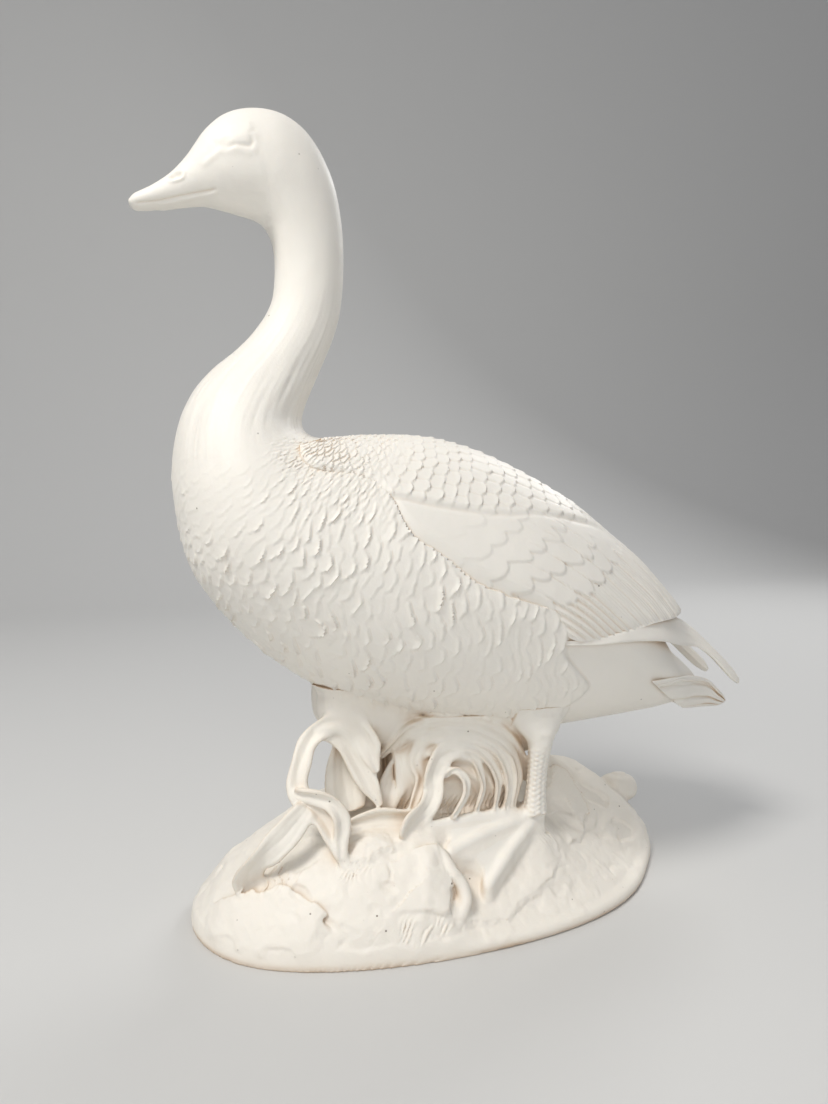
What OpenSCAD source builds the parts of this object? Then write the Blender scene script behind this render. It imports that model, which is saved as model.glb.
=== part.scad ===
// Standing goose on a rockwork base with water-plant leaves, a hollow cast ceramic
// figure luted together from separately formed pieces. Millimetres, +Z up, origin at the
// centre of the flat foot of the base. The goose faces -X and its left side faces -Y.
// Every table below is for the figure at its model height, and one scale sets the size.

/* [Figure] */
// Height from the table to the crown of the head
figure_h = 450; // [300:5:600]
// Wall of the hollow body, neck and head
shell_wall = 4; // [3:0.5:6]
// Largest thickness of a folded wing over the body
wing_t = 2.4; // [1.6:0.2:2.6]
// Thickness of a wing along its edges
wing_edge_t = 0.9; // [0.6:0.1:1.4]
// Gap left for slip between a wing and the body
luting_gap = 1.2; // [0.8:0.1:1.6]

/* [Base] */
// Half length of the oval base
base_rx = 155; // [145:1:165]
// Half width of the oval base
base_ry = 84; // [78:1:90]
// Turn of the long axis of the base away from the goose
base_turn = 5; // [0:1:8]
// Height of the rock mound at its middle
mound_h = 62; // [58:1:66]
// Height of the rounded lip round the base
lip_h = 6; // [4:0.5:9]
// Wall of the hollow base
base_wall = 6; // [4:0.5:8]

/* [Leaves and legs] */
// Thickness of a leaf at its middle
leaf_t = 3.2; // [2.4:0.2:4]
// How far the edges of a leaf curl out of its plane
leaf_cup = 1.3; // [0:0.1:2]
// Radius of a leg at its thinnest
leg_r = 5.6; // [4.8:0.2:6.4]
// Thickness of a webbed foot
web_t = 4; // [3:0.5:5]

/* [Hidden] */

model_h = 450;            // height that the tables are written for
figure_scale = figure_h / model_h;
body_sides = 44;          // points round a body ring
neck_sides = 36;          // points round a neck or head ring
leaf_sides = 8;           // points round a leaf section
bisque = "floralwhite";

// Rings of the goose from the tip of the bill to the tail. Each row is one ring:
// back point x and z, front or belly point x and z, half width, and how far down from
// the back point the ring is widest, as a share.
goose = [
  [-175, 397.3, -174.5, 394.8, 3, 0.5], [-172, 400.6, -171, 392.6, 6.4, 0.5],
  [-164, 405, -160, 394, 8.2, 0.5], [-153.5, 412.8, -149, 395.8, 9.2, 0.5],
  [-144.5, 423, -137, 397.8, 12.2, 0.5], [-137, 434.5, -126, 396.5, 16.6, 0.5],
  [-128, 443.5, -117, 394.8, 19.6, 0.5], [-117, 448.8, -110, 393.2, 21.2, 0.5],
  [-106, 450.4, -105.5, 391, 21.8, 0.5], [-94.5, 449, -102.6, 387.4, 21.8, 0.5],
  [-83, 442.6, -100.6, 382.4, 20.8, 0.5], [-74, 431.6, -99.5, 376, 19.6, 0.5],
  [-66.7, 416.7, -99.2, 368.5, 18.2, 0.5], [-62.8, 399, -99.6, 360, 17.3, 0.5],
  [-61.2, 381, -101, 351, 17, 0.5], [-61.6, 361, -105, 342, 17.5, 0.5],
  [-63.9, 343, -112.6, 331.5, 19.5, 0.5], [-69, 327, -122.6, 321.5, 23, 0.5],
  [-76, 311.5, -134.6, 311.3, 28, 0.5], [-82.5, 297, -145.2, 299, 35, 0.5],
  [-86.2, 285.5, -152.5, 284, 42, 0.52], [-84.5, 278.3, -156.3, 267, 49, 0.54],
  [-77.5, 275.3, -157.2, 247, 55, 0.56], [-68, 274.8, -154.7, 226, 59, 0.57],
  [-58, 275, -150, 206.5, 62, 0.57], [-47, 274.7, -140.4, 189, 64.5, 0.57],
  [-34.5, 274.8, -125.3, 169.8, 66.5, 0.56], [-18.5, 274, -106.2, 151.6, 68, 0.55],
  [-0.3, 270.8, -83.4, 134.8, 69, 0.54], [19.4, 264.6, -55.6, 121, 69, 0.53],
  [41.7, 254.8, -26.8, 112.5, 68, 0.52], [63.7, 243.3, 3, 105.4, 66, 0.51],
  [85.6, 230.2, 36, 99.4, 62, 0.5], [106, 214.8, 64, 95.4, 57, 0.5],
  [122, 190, 90, 96.8, 51, 0.5], [136, 165, 115, 98.6, 44, 0.5],
  [148.5, 145, 138, 100.8, 36.5, 0.5], [160.5, 134.5, 156, 103.4, 28.5, 0.5],
  [169.5, 126.5, 167.5, 107, 20, 0.5], [175, 119.5, 174.5, 112, 10, 0.5]
];
HEAD_END = 13;            // ring where the head meets the neck
NECK_END = 20;            // ring where the neck meets the body
GOOSE_END = len(goose) - 1;

// Rings of the folded wings, which leave the body behind ring 33 and end at their corner
wing_rows = concat(
  [for (i = [0:33]) goose[i]],
  [[124.5, 200.5, 90, 96.8, 51.5, 0.5], [141, 183.5, 115, 98.6, 45.5, 0.5],
   [156.5, 167.5, 138, 100.8, 38.5, 0.5], [168, 158.5, 153, 101, 32, 0.5]]
);
// Upper and lower edge of a folded wing: ring number, then the angle down from the back
wing_edges = [
  [21.6, 40, 50], [22.4, 26, 59], [23.4, 14, 61], [24.5, 8, 57], [25.8, 5, 57],
  [26.5, 4, 63], [27, 4, 69], [27.5, 4, 74], [28.4, 4, 78], [29.4, 4, 83],
  [30.4, 4, 85], [31.2, 4, 87], [31.8, 4, 94], [32.4, 4, 90], [33, 4, 84],
  [33.7, 4, 75.5], [34.4, 4, 66], [35, 4, 56], [35.4, 4, 46], [35.85, 4, 31], [36.15, 4, 18]
];

// Soft rises in the rock: x, y, half length, half width and height
rock_rises = [
  [97, 24, 24, 16, 11], [74, 4, 15, 14, 13], [-104, 4, 30, 30, -4],
  [43, -36, 17, 13, 11], [2, -42, 26, 10, 6], [-40, 30, 40, 20, 5], [30, 40, 24, 14, 6]
];

// ---- curves ----
function blend(a, b, c, d, t) =
  0.5 * (2 * b + (c - a) * t + (2 * a - 5 * b + 4 * c - d) * t * t
  + (3 * b - a - 3 * c + d) * t * t * t);

// Row t of a table, with a smooth curve through the rows between whole numbers
function row_at(rows, t) =
  let (n = len(rows) - 1, i = min(floor(t), n - 1), f = t - i)
  blend(rows[max(i - 1, 0)], rows[i], rows[i + 1], rows[min(i + 2, n)], f);

function unit(v) = v / norm(v);
function smooth_step(t) = let (s = min(max(t, 0), 1)) s * s * (3 - 2 * s);

// ---- solids from rings ----
// One closed solid through a list of rings with equal numbers of points. Without wrap
// the first and last ring are capped, and with it they are joined to each other. A thin
// section that runs out along one face and back along the other is capped in strips.
module skin(rings, wrap = false, thin = false) {
  n = len(rings[0]);
  m = len(rings);
  points = [for (ring = rings) each ring];
  last = wrap ? m - 1 : m - 2;
  sides = [for (i = [0:last], j = [0:n - 1])
    let (a = i * n + j, b = i * n + (j + 1) % n,
         c = ((i + 1) % m) * n + (j + 1) % n, d = ((i + 1) % m) * n + j)
    each [[a, c, b], [a, d, c]]];
  z = (m - 1) * n;
  caps = wrap ? [] : thin
    ? [for (j = [0:n / 2 - 2]) let (k = n - 1 - j)
        each [[j, j + 1, k - 1], [j, k - 1, k], [z + j, z + k - 1, z + j + 1],
              [z + j, z + k, z + k - 1]]]
    : [[for (j = [0:n - 1]) j], [for (j = [n - 1:-1:0]) z + j]];
  polyhedron(points, concat(caps, sides));
}

// ---- goose ----
// Point of ring t at an angle down from the back, with grow moving it outwards
function ring_point(rows, t, angle, grow = 0) =
  let (r = row_at(rows, t), back = [r[0], 0, r[1]], belly = [r[2], 0, r[3]],
       mid = back + r[5] * (belly - back),
       up = back - mid, down = belly - mid, c = cos(angle))
  mid + (c > 0 ? c * (up + grow * unit(up)) : -c * (down + grow * unit(down)))
  + [0, -(r[4] + grow) * sin(angle), 0];

function goose_ring(t, sides, grow = 0) =
  [for (i = [0:sides - 1]) ring_point(goose, t, 360 * i / sides, grow)];

module head_shell() {
  outside = [for (t = [0:0.5:HEAD_END]) goose_ring(t, neck_sides)];
  inside = [for (t = [HEAD_END:-1:4]) goose_ring(t, neck_sides, -shell_wall)];
  color(bisque) skin(concat(outside, inside));
}

module neck_shell() {
  outside = [for (t = [HEAD_END:0.5:NECK_END]) goose_ring(t, neck_sides)];
  inside = [for (t = [NECK_END:-1:HEAD_END]) goose_ring(t, neck_sides, -shell_wall)];
  color(bisque) skin(concat(outside, inside), wrap = true);
}

module body_shell() {
  inside = [for (t = [GOOSE_END - 2:-1:NECK_END]) goose_ring(t, body_sides, -shell_wall)];
  outside = [for (t = [NECK_END:0.5:GOOSE_END]) goose_ring(t, body_sides)];
  color(bisque) skin(concat(inside, outside));
}

// Section of a folded wing at row i of wing_edges: outer face down, inner face back up
function wing_section(i) =
  let (steps = 14, edge = row_at(wing_edges, i), t = edge[0],
       over = [for (j = [0:steps]) let (f = j / steps, a = edge[1] + f * (edge[2] - edge[1]),
         t_here = wing_edge_t + (wing_t - wing_edge_t) * sqrt(sin(180 * f)))
         ring_point(wing_rows, t, a, luting_gap + t_here)],
       under = [for (j = [steps:-1:0]) let (f = j / steps, a = edge[1] + f * (edge[2] - edge[1]))
         ring_point(wing_rows, t, a, luting_gap)])
  concat(over, under);

module wing() {
  color(bisque) skin([for (i = [0:0.5:len(wing_edges) - 1]) wing_section(i)], thin = true);
}
module left_wing() { wing(); }
module right_wing() { mirror([0, 1, 0]) wing(); }

// ---- leaves, feathers and roots ----
// Section of a ribbon whose row is x, y, z, width and twist. The ribbon faces -Y at twist
// 0, and its edges curl towards its face by cup.
function ribbon_section(rows, t, thickness, cup) =
  let (r = row_at(rows, t), here = [r[0], r[1], r[2]],
       ahead = row_at(rows, min(t + 0.1, len(rows) - 1)), behind = row_at(rows, max(t - 0.1, 0)),
       along = unit([ahead[0] - behind[0], ahead[1] - behind[1], ahead[2] - behind[2]]),
       side = unit(cross(along, [0, 1, 0])), face = cross(along, side),
       w = cos(r[4]) * side + sin(r[4]) * face, f = cos(r[4]) * face - sin(r[4]) * side,
       thin = min(thickness, r[3] * 0.6))
  [for (k = [0:leaf_sides - 1]) let (a = 360 * k / leaf_sides)
    here + w * r[3] / 2 * cos(a) + f * (thin / 2 * sin(a) + cup * cos(a) * cos(a))];

module ribbon(rows, thickness = leaf_t, cup = leaf_cup) {
  color(bisque)
    skin([for (t = [0:0.5:len(rows) - 1]) ribbon_section(rows, t, thickness, cup)]);
}

// Long outer feathers of a wing, from under its hind edge to the free tip
module primaries(rows) { ribbon(rows, 3.4, 0.8); }
wing_band = [
  [50, -62.8, 161, 2.4, -8], [71, -60.4, 160.2, 4.2, -9], [87, -57.8, 161, 6, -12],
  [108, -51, 161, 10, -20], [126, -42.5, 160, 15, -27], [141, -33, 157, 19, -30],
  [154, -25.5, 153, 17, -32]
];
module left_primaries() {
  primaries(concat(wing_band, [[166, -21.5, 147.5, 11.5, -34], [178, -20, 138.8, 8, -36],
    [188, -19, 130, 8.5, -38], [197.5, -17.5, 121.3, 8, -36], [203, -16.5, 116.2, 4.2, -36]]));
}
module right_primaries() { mirror([0, 1, 0]) left_primaries(); }

// Short fan of tail feathers, a trough that hugs the sides and underside of the rump. Each
// row is x and z of the middle line, half width, half thickness, and how far the side edges
// rise and sweep forward.
tail_rows = [
  [166, 102, 47, 1.8, 28, 49], [173, 101.5, 41, 2.6, 27.5, 38], [181, 101, 32, 3, 26, 28],
  [189, 100, 21, 3, 20.5, 14], [197, 99, 13, 2.6, 10, 5], [203.5, 98.5, 5, 1.4, 1.5, 0]
];
module tail_feathers() {
  sides = 28;
  color(bisque) skin([for (t = [0:0.5:len(tail_rows) - 1]) let (r = row_at(tail_rows, t))
    [for (k = [0:sides - 1]) let (a = 360 * k / sides, side = abs(cos(a)))
      [r[0] - r[5] * side * side, r[2] * cos(a),
       r[1] + r[4] * pow(side, 2.6) + r[3] * sin(a)]]], thin = true);
}

// ---- legs and feet ----
// Round bar through rows of x, y, z and radius
module bar(rows, sides = 14) {
  color(bisque) skin([for (t = [0:0.5:len(rows) - 1])
    let (r = row_at(rows, t), ahead = row_at(rows, min(t + 0.1, len(rows) - 1)),
         behind = row_at(rows, max(t - 0.1, 0)),
         along = unit([ahead[0] - behind[0], ahead[1] - behind[1], ahead[2] - behind[2]]),
         side = unit(cross(along, [0, 1, 0])), face = cross(along, side))
    [for (k = [0:sides - 1]) let (a = 360 * k / sides)
      [r[0], r[1], r[2]] + r[3] * (cos(a) * side + sin(a) * face)]]);
}
leg_rows = [
  [47.4, -36.2, 110, leg_r + 5.6], [47, -38.6, 103.5, leg_r + 3.6], [46.8, -39, 97, leg_r + 1.8],
  [46.2, -38.6, 90, leg_r + 0.6], [45.6, -38.2, 81, leg_r], [45, -38, 70, leg_r],
  [44.4, -38, 60, leg_r + 0.8], [44, -38, 54.5, leg_r + 1.8]
];
module left_leg() { bar(leg_rows); }
module right_leg() {
  mirror([0, 1, 0]) bar(concat([for (i = [0:4]) leg_rows[i]],
    [[45, -38, 74, leg_r + 0.8], [44.6, -38, 67.5, leg_r + 1.8]]));
}

// Webbed foot: a sheet from the ankle to three toe tips, draped over the rock
function foot_point(ankle, tips, across, out, lift) =
  let (tip = row_at(tips, across), scallop = 1 - 0.16 * pow(sin(180 * across), 2),
       f = out * scallop, sag = 4 * f * (1 - f))
  [ankle[0] + f * (tip[0] - ankle[0]), ankle[1] + f * (tip[1] - ankle[1]),
   ankle[2] + f * (tip[2] - ankle[2]) + 3 * sag + lift];
module foot(ankle, tips) {
  across = [for (a = [0:0.2:len(tips) - 1]) a];
  outs = [0.06, 0.25, 0.45, 0.65, 0.85, 1];
  color(bisque) skin([for (out = outs) concat(
    [for (a = across) foot_point(ankle, tips, a, out, web_t * (1 - 0.35 * out))],
    [for (i = [len(across) - 1:-1:0]) foot_point(ankle, tips, across[i], out, 0)])],
    thin = true);
}
module left_foot() {
  foot([47, -37, 48], [[2, -66, 24], [-17, -55, 43], [-27, -44, 55.5]]);
}
module right_foot() {
  foot([47, 37, 62], [[-24, 44, 60.5], [-14, 57, 52], [4, 66, 45]]);
}

// ---- base ----
// Outline of the base at an angle, as a share of the plain oval
function outline(angle) = let (a = (angle % 360 + 360) % 360)
  1 - 0.05 * exp(-pow((a - 332) / 22, 2)) + 0.015 * exp(-pow((a - 215) / 20, 2))
  + 0.008 * sin(5 * a + 60);

// Height of the rock: a full loaf to the left and behind, a hollowed apron to the front
// right, and the soft rises
function ground(x, y) =
  let (u = x * cos(base_turn) + y * sin(base_turn),
       v = y * cos(base_turn) - x * sin(base_turn),
       a = (atan2(v / base_ry, u / base_rx) + 360) % 360,
       r = min(norm([u / base_rx, v / base_ry]) / outline(a), 1),
       loaf = mound_h * pow(1 - pow(r, 3.6), 0.8),
       apron = mound_h * pow(1 - pow(r, 2.2), 1.6),
       hollow = smooth_step((x + 32) / 30) * smooth_step(-y / 25),
       fade = smooth_step((1 - r) / 0.2))
  lip_h + (1 - lip_h / mound_h) * (loaf + hollow * (apron - loaf))
  + fade * bumps(x, y, len(rock_rises) - 1);
function bumps(x, y, i) =
  i < 0 ? 0 : let (b = rock_rises[i])
  b[4] * exp(-pow((x - b[0]) / b[2], 2) - pow((y - b[1]) / b[3], 2)) + bumps(x, y, i - 1);

function base_point(r, a, inset = 0) =
  let (k = outline(a), u = (base_rx * k * r - inset) * cos(a), v = (base_ry * k * r - inset) * sin(a))
  [u * cos(base_turn) - v * sin(base_turn), u * sin(base_turn) + v * cos(base_turn)];

module base_shell() {
  sides = 60;
  shares = [0.06, 0.2, 0.34, 0.47, 0.59, 0.7, 0.79, 0.87, 0.93, 0.97, 0.99];
  wall_shares = [0.86, 0.74, 0.58, 0.36, 0.1];
  below = -2;             // the skins run below the foot and are cut off flat
  top = [for (r = shares) [for (i = [0:sides - 1])
    let (p = base_point(r, -360 * i / sides)) [p[0], p[1], ground(p[0], p[1])]]];
  lip = [for (z = [lip_h - 2, 2, below]) [for (i = [0:sides - 1])
    let (p = base_point(z == 2 ? 1.003 : 1, -360 * i / sides, z < 0 ? 1 : 0)) [p[0], p[1], z]]];
  rim = [for (z = [below, lip_h]) [for (i = [0:sides - 1])
    let (p = base_point(1, -360 * i / sides, base_wall + 2)) [p[0], p[1], z]]];
  hollow = [for (r = wall_shares) [for (i = [0:sides - 1])
    let (p = base_point(r, -360 * i / sides)) [p[0], p[1], ground(p[0], p[1]) - base_wall * 1.3]]];
  color(bisque) difference() {
    skin(concat(top, lip, rim, hollow));
    translate([0, 0, below - 10]) cube([2 * base_rx + 40, 2 * base_ry + 60, 20], center = true);
    translate([-base_rx - 20, -base_ry - 30, below - 1])
      cube([2 * base_rx + 40, 2 * base_ry + 60, 1 - below]);
  }
}

// Lump of stone standing on the hind end of the base
module rear_stone() {
  sides = 16;
  rows = [[-3, 14, 9], [0, 16.5, 10.5], [5, 16, 10], [10, 12.5, 7.5], [12.5, 6, 3.5]];
  color(bisque) translate([137, 22, 33]) rotate([0, 8, 12])
    skin([for (r = rows) [for (k = [0:sides - 1]) let (a = 360 * k / sides)
      [r[1] * (1 + 0.07 * sin(3 * a + 20)) * cos(a), r[2] * (1 + 0.08 * cos(2 * a)) * sin(a),
       r[0]]]]);
}

// Upright cast mass through rows of x, z, half length and half width
module support(rows, y = 0, sides = 24) {
  color(bisque) skin([for (t = [0:0.5:len(rows) - 1]) let (r = row_at(rows, t))
    [for (k = [0:sides - 1]) let (a = 360 * k / sides, lobe = 1 + 0.06 * sin(5 * a + 7 * r[1]))
      [r[0] + r[2] * lobe * cos(a), y + r[3] * lobe * sin(a), r[1]]]]);
}
module front_support() {
  support([[-50, 60, 24, 20], [-51, 72, 16, 15], [-50, 88, 12, 14], [-50, 101, 17, 19],
    [-53, 110, 24, 23], [-60, 118.5, 19, 24], [-64, 125, 15, 22], [-68, 131, 10, 17]]);
}
module leaf_clump() {
  support([[8, 56, 35, 31], [9, 68, 36, 31], [8, 82, 37, 32], [7, 93, 37, 32],
    [6, 101, 36, 30], [3, 109, 32, 26]]);
}

module loop_leaf() {
  ribbon([[-62, -18, 116, 9, 0], [-74, -21, 115, 10, 15], [-84, -24, 111, 11, 20],
    [-91.5, -28, 101, 11, 20], [-95.5, -32, 90, 11, 15], [-95.5, -36, 81, 12, 10],
    [-91, -40, 74.5, 12, 0], [-85, -43, 69, 12, -10], [-80, -47, 60, 11, -10],
    [-76.5, -51, 51, 7, 0], [-74, -53, 43, 3, 0]]);
}
module arch_leaf() {
  ribbon([[-83, -22.5, 110, 6, 10], [-76, -23, 109.5, 9, 0], [-69, -24, 104, 10, -10],
    [-64.5, -26, 96, 10, -15], [-59, -29, 86, 11, -10], [-54, -32, 77, 9, 0],
    [-50, -34, 69, 4, 0]]);
}
module strap_leaf() {
  ribbon([[-94, -41, 74, 12, 10], [-100, -43, 67.5, 14, 10], [-106, -44, 61, 15, 15],
    [-113, -44, 55, 15, 5], [-120, -42, 49, 13, -15], [-124, -39, 42, 15, -10],
    [-125, -37, 36.5, 17, 0], [-125, -36, 31, 13, 0]]);
}
module curled_leaf() {
  ribbon([[-97, -37, 83, 6, 30], [-89, -43, 82, 8, 20], [-80, -46, 78, 8, 0],
    [-75.5, -48, 69, 8, -10], [-76, -49, 59, 7, 0], [-77, -51, 50, 3, 0]]);
}
module folded_leaf() {
  ribbon([[-72, -13, 123, 8, 0], [-64, -19, 117, 14, 15], [-57.5, -25, 109, 15, 30],
    [-53.5, -29, 99, 12, 20], [-51, -31, 88, 4, 0]]);
}
module back_leaf() {
  ribbon([[-72, -13, 111, 6, 0], [-68, -15, 100, 11, 10], [-68.5, -17, 88, 19, 0],
    [-68, -20, 77, 25, -10], [-66, -25, 64, 20, 0]]);
}
module hooked_leaf() {
  ribbon([[-45, -17, 91, 5, 40], [-38, -21, 100, 8, 35], [-30, -24.5, 107.5, 9, 20],
    [-20, -27, 110, 9, 10], [-10.5, -29, 107, 9, 0], [-4, -32, 100, 8, 0], [-1, -34, 93, 4, 0]]);
}
module wavy_leaf() {
  ribbon([[-2, -33.5, 97, 7, 20], [-12, -35, 94, 13, 10], [-19.5, -37.5, 85, 11.5, -10],
    [-20, -40, 75, 10.5, 20], [-25.5, -43, 67, 13, 0], [-35, -46, 61, 15, -20],
    [-39, -48, 54, 11, -20]]);
}
module stem_leaf() {
  ribbon([[-21, -26, 101, 4, 0], [-27, -28, 91, 5.5, 20], [-25, -31, 81, 5.5, -10],
    [-28, -35, 72, 5.5, 20], [-35, -39, 62, 4, 0]]);
}
module flat_leaf() {
  ribbon([[-34, -20, 90, 9, 0], [-38, -23, 82, 13, 0], [-42, -27, 73, 14, 5],
    [-46, -31, 62, 9, 0]]);
}
module cross_leaf() {
  ribbon([[-30, -40, 62, 7, -20], [-42, -38, 63, 10, -15], [-54, -36, 63, 10, -10],
    [-67, -35, 60, 6, 0]]);
}
module fan_leaf_1() {
  ribbon([[-15, -27, 112, 4, 0], [-6, -30, 110.5, 7, -10], [8, -32, 106, 8, -25],
    [22, -33.5, 98.5, 8, -35], [31, -34.5, 88, 7, -40], [34, -35, 75, 6, -40],
    [31, -36, 60, 3, -30]], 2.6);
}
module fan_leaf_2() {
  ribbon([[-5, -31, 104, 4, 0], [10, -34, 100.5, 6.5, -30], [21, -35.5, 92, 7, -40],
    [26.5, -36.5, 80, 6.5, -45], [27, -37, 68, 5.5, -40], [24, -38, 58, 3, -30]], 2.4);
}
module fan_leaf_3() {
  ribbon([[-4, -33, 99.5, 3, 0], [9, -35, 94, 5.5, -30], [17, -36.5, 85, 6, -40],
    [20.5, -37.5, 74, 6, -45], [18, -39, 60, 3, -30]], 2.4);
}
module fan_leaf_4() {
  ribbon([[-3, -34, 95, 3, 0], [5.5, -35.5, 90, 5, -30], [9, -37, 82, 5.5, -40],
    [10.5, -38.5, 73, 5.5, -45], [6, -40.5, 62, 3, -30]], 2.4);
}
module fan_leaf_5() {
  ribbon([[-12, -37, 83, 3, 20], [-6.5, -39, 86, 4.5, 10], [-1, -40.5, 80, 5.5, -20],
    [-2, -42, 71, 5.5, -30], [-10, -44.5, 61, 3, -10]], 2.6);
}
module front_root() {
  bar([[-24, -54, 49, 2.5], [-20, -59, 44, 3.4], [-17, -64, 38, 3.6], [-12.5, -67, 31, 3.8],
    [-12, -71, 24, 3.6], [-17, -75, 16, 2.4]], 10);
}

// Leaves on the far side
module far_arch_leaf() {
  ribbon([[-46, 20, 116, 7, 0], [-38, 24, 112, 9, 15], [-31, 28, 102, 10, 20],
    [-29, 32, 90, 11, 15], [-33, 36, 77, 11, 0], [-41, 40, 66, 9, -10], [-47, 44, 55, 4, 0]]);
}
module far_broad_leaf() {
  ribbon([[-64, 15, 116, 7, 0], [-57, 21, 107, 13, -15], [-52, 26, 94, 17, -10],
    [-50, 31, 80, 15, 0], [-53, 36, 64, 8, 0]]);
}
module far_wavy_leaf() {
  ribbon([[-6, 29, 102, 6, 0], [-15, 32, 95, 12, -10], [-22, 35, 85, 12, 10],
    [-21, 38, 75, 11, -20], [-28, 42, 65, 12, 0], [-37, 45, 57, 6, 0]]);
}
module far_fan_leaf_1() {
  ribbon([[-6, 29, 108, 4, 0], [8, 32, 104, 7, 25], [20, 34, 96, 7, 35], [28, 35, 84, 6, 40],
    [29, 36, 71, 5, 40], [25, 38, 58, 3, 30]], 2.4);
}
module far_fan_leaf_2() {
  ribbon([[-2, 31, 100, 3, 0], [9, 34, 93, 6, 30], [15, 36, 83, 6, 40], [16, 38, 72, 6, 45],
    [12, 40, 59, 3, 30]], 2.4);
}

module scaled() { scale(figure_scale) children(); }
scaled() base_shell();
scaled() rear_stone();
scaled() front_support();
scaled() leaf_clump();
scaled() body_shell();
scaled() neck_shell();
scaled() head_shell();
scaled() left_wing();
scaled() right_wing();
scaled() left_primaries();
scaled() right_primaries();
scaled() tail_feathers();
scaled() left_leg();
scaled() right_leg();
scaled() left_foot();
scaled() right_foot();
scaled() loop_leaf();
scaled() arch_leaf();
scaled() strap_leaf();
scaled() curled_leaf();
scaled() folded_leaf();
scaled() back_leaf();
scaled() hooked_leaf();
scaled() wavy_leaf();
scaled() stem_leaf();
scaled() flat_leaf();
scaled() cross_leaf();
scaled() fan_leaf_1();
scaled() fan_leaf_2();
scaled() fan_leaf_3();
scaled() fan_leaf_4();
scaled() fan_leaf_5();
scaled() front_root();
scaled() far_arch_leaf();
scaled() far_broad_leaf();
scaled() far_wavy_leaf();
scaled() far_fan_leaf_1();
scaled() far_fan_leaf_2();
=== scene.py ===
"""Looks of the goose figurine: bisque skins, feather relief and fused leafwork on the CAD frame.

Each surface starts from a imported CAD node. Its rings are read back from its mesh, drawn again
as a fine smooth grid, and raised and cut like modelled clay. Lengths are in millimetres until
a mesh is made.
"""

import math

import bpy
import numpy as np
import openvdb
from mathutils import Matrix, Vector
from mathutils.bvhtree import BVHTree
from numpy.linalg import norm


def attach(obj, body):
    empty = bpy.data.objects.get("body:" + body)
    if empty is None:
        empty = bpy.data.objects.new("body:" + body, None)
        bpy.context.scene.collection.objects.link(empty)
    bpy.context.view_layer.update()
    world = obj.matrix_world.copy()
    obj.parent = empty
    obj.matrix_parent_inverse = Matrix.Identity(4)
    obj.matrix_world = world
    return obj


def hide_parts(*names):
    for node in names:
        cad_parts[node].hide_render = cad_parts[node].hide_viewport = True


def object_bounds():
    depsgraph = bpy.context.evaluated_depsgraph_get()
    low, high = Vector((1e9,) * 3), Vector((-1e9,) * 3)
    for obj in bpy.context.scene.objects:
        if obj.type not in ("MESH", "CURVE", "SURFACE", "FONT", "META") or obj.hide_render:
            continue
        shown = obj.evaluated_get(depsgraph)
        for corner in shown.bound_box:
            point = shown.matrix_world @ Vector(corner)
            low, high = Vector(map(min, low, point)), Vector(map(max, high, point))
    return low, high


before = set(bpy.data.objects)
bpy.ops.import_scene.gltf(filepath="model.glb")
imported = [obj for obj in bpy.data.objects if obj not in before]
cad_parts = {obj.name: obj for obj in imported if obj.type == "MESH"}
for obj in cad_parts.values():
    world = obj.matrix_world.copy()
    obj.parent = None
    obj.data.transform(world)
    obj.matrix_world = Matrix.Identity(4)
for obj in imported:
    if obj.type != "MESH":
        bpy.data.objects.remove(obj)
cad_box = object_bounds()
MM = 0.001
SEED = 7


# ---------------- numbers and noise
def ease(x, start=0, run=1):
    """A smooth change from 0 at start to 1 at start + run, level outside them."""
    x = np.clip((x - start) / run, 0, 1)
    return x * x * (3 - 2 * x)


def between(x, low, high, soft):
    """1 between low and high, with edges that fade over soft."""
    return ease((x - low) / soft + 0.5) * ease((high - x) / soft + 0.5)


def bell(x, width):
    return np.exp(-((x / width) ** 2))


def scatter(*keys):
    """An even random number in 0..1 for whole-number keys, the same on every run."""
    h = np.zeros(np.broadcast(*keys).shape, np.uint64) + np.uint64(SEED)
    for k in keys:
        h = (h ^ (np.asarray(k).astype(np.int64).astype(np.uint64))) * np.uint64(0x9E3779B97F4A7C15)
        h ^= h >> np.uint64(29)
    h *= np.uint64(0xBF58476D1CE4E5B9)
    h ^= h >> np.uint64(32)
    return (h & np.uint64(0xFFFFFF)).astype(float) / 0xFFFFFF


def noise(x, y, z=0, salt=0):
    """Smooth noise in -1..1 with features one unit wide."""
    at = np.array(np.broadcast_arrays(x, y, z), float)
    cell = np.floor(at)
    past = ease(at - cell)
    total = 0
    for corner in np.ndindex(2, 2, 2):
        weight = 1
        for share, far in zip(past, corner):
            weight = weight * (share if far else 1 - share)
        total = total + weight * scatter(*(c + k for c, k in zip(cell, corner)), salt)
    return 2 * total - 1


def noise_at(points, size, salt=0):
    """Noise at points in space, with features size wide."""
    return noise(points[..., 0] / size, points[..., 1] / size, points[..., 2] / size, salt)


def cubic(a, at, loop=False):
    """Rows of a at fractional places, along its first axis, by a Catmull-Rom curve."""
    n = len(a)
    i = np.floor(at).astype(int)
    if not loop:
        i = np.minimum(i, n - 2)
    f = (at - i).reshape((-1,) + (1,) * (a.ndim - 1))
    near = [i + k for k in (-1, 0, 1, 2)]
    p = [a[k % n if loop else np.clip(k, 0, n - 1)] for k in near]
    return 0.5 * (
        2 * p[1]
        + (p[2] - p[0]) * f
        + (2 * p[0] - 5 * p[1] + 4 * p[2] - p[3]) * f**2
        + (3 * p[1] - p[0] - 3 * p[2] + p[3]) * f**3
    )


def soften(a, axis, passes):
    """The array blurred along an axis, its ends kept."""
    a = np.moveaxis(a, axis, 0).copy()
    for _ in range(passes):
        a[1:-1] = (a[:-2] + 2 * a[1:-1] + a[2:]) / 4
    return np.moveaxis(a, 0, axis)


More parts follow.
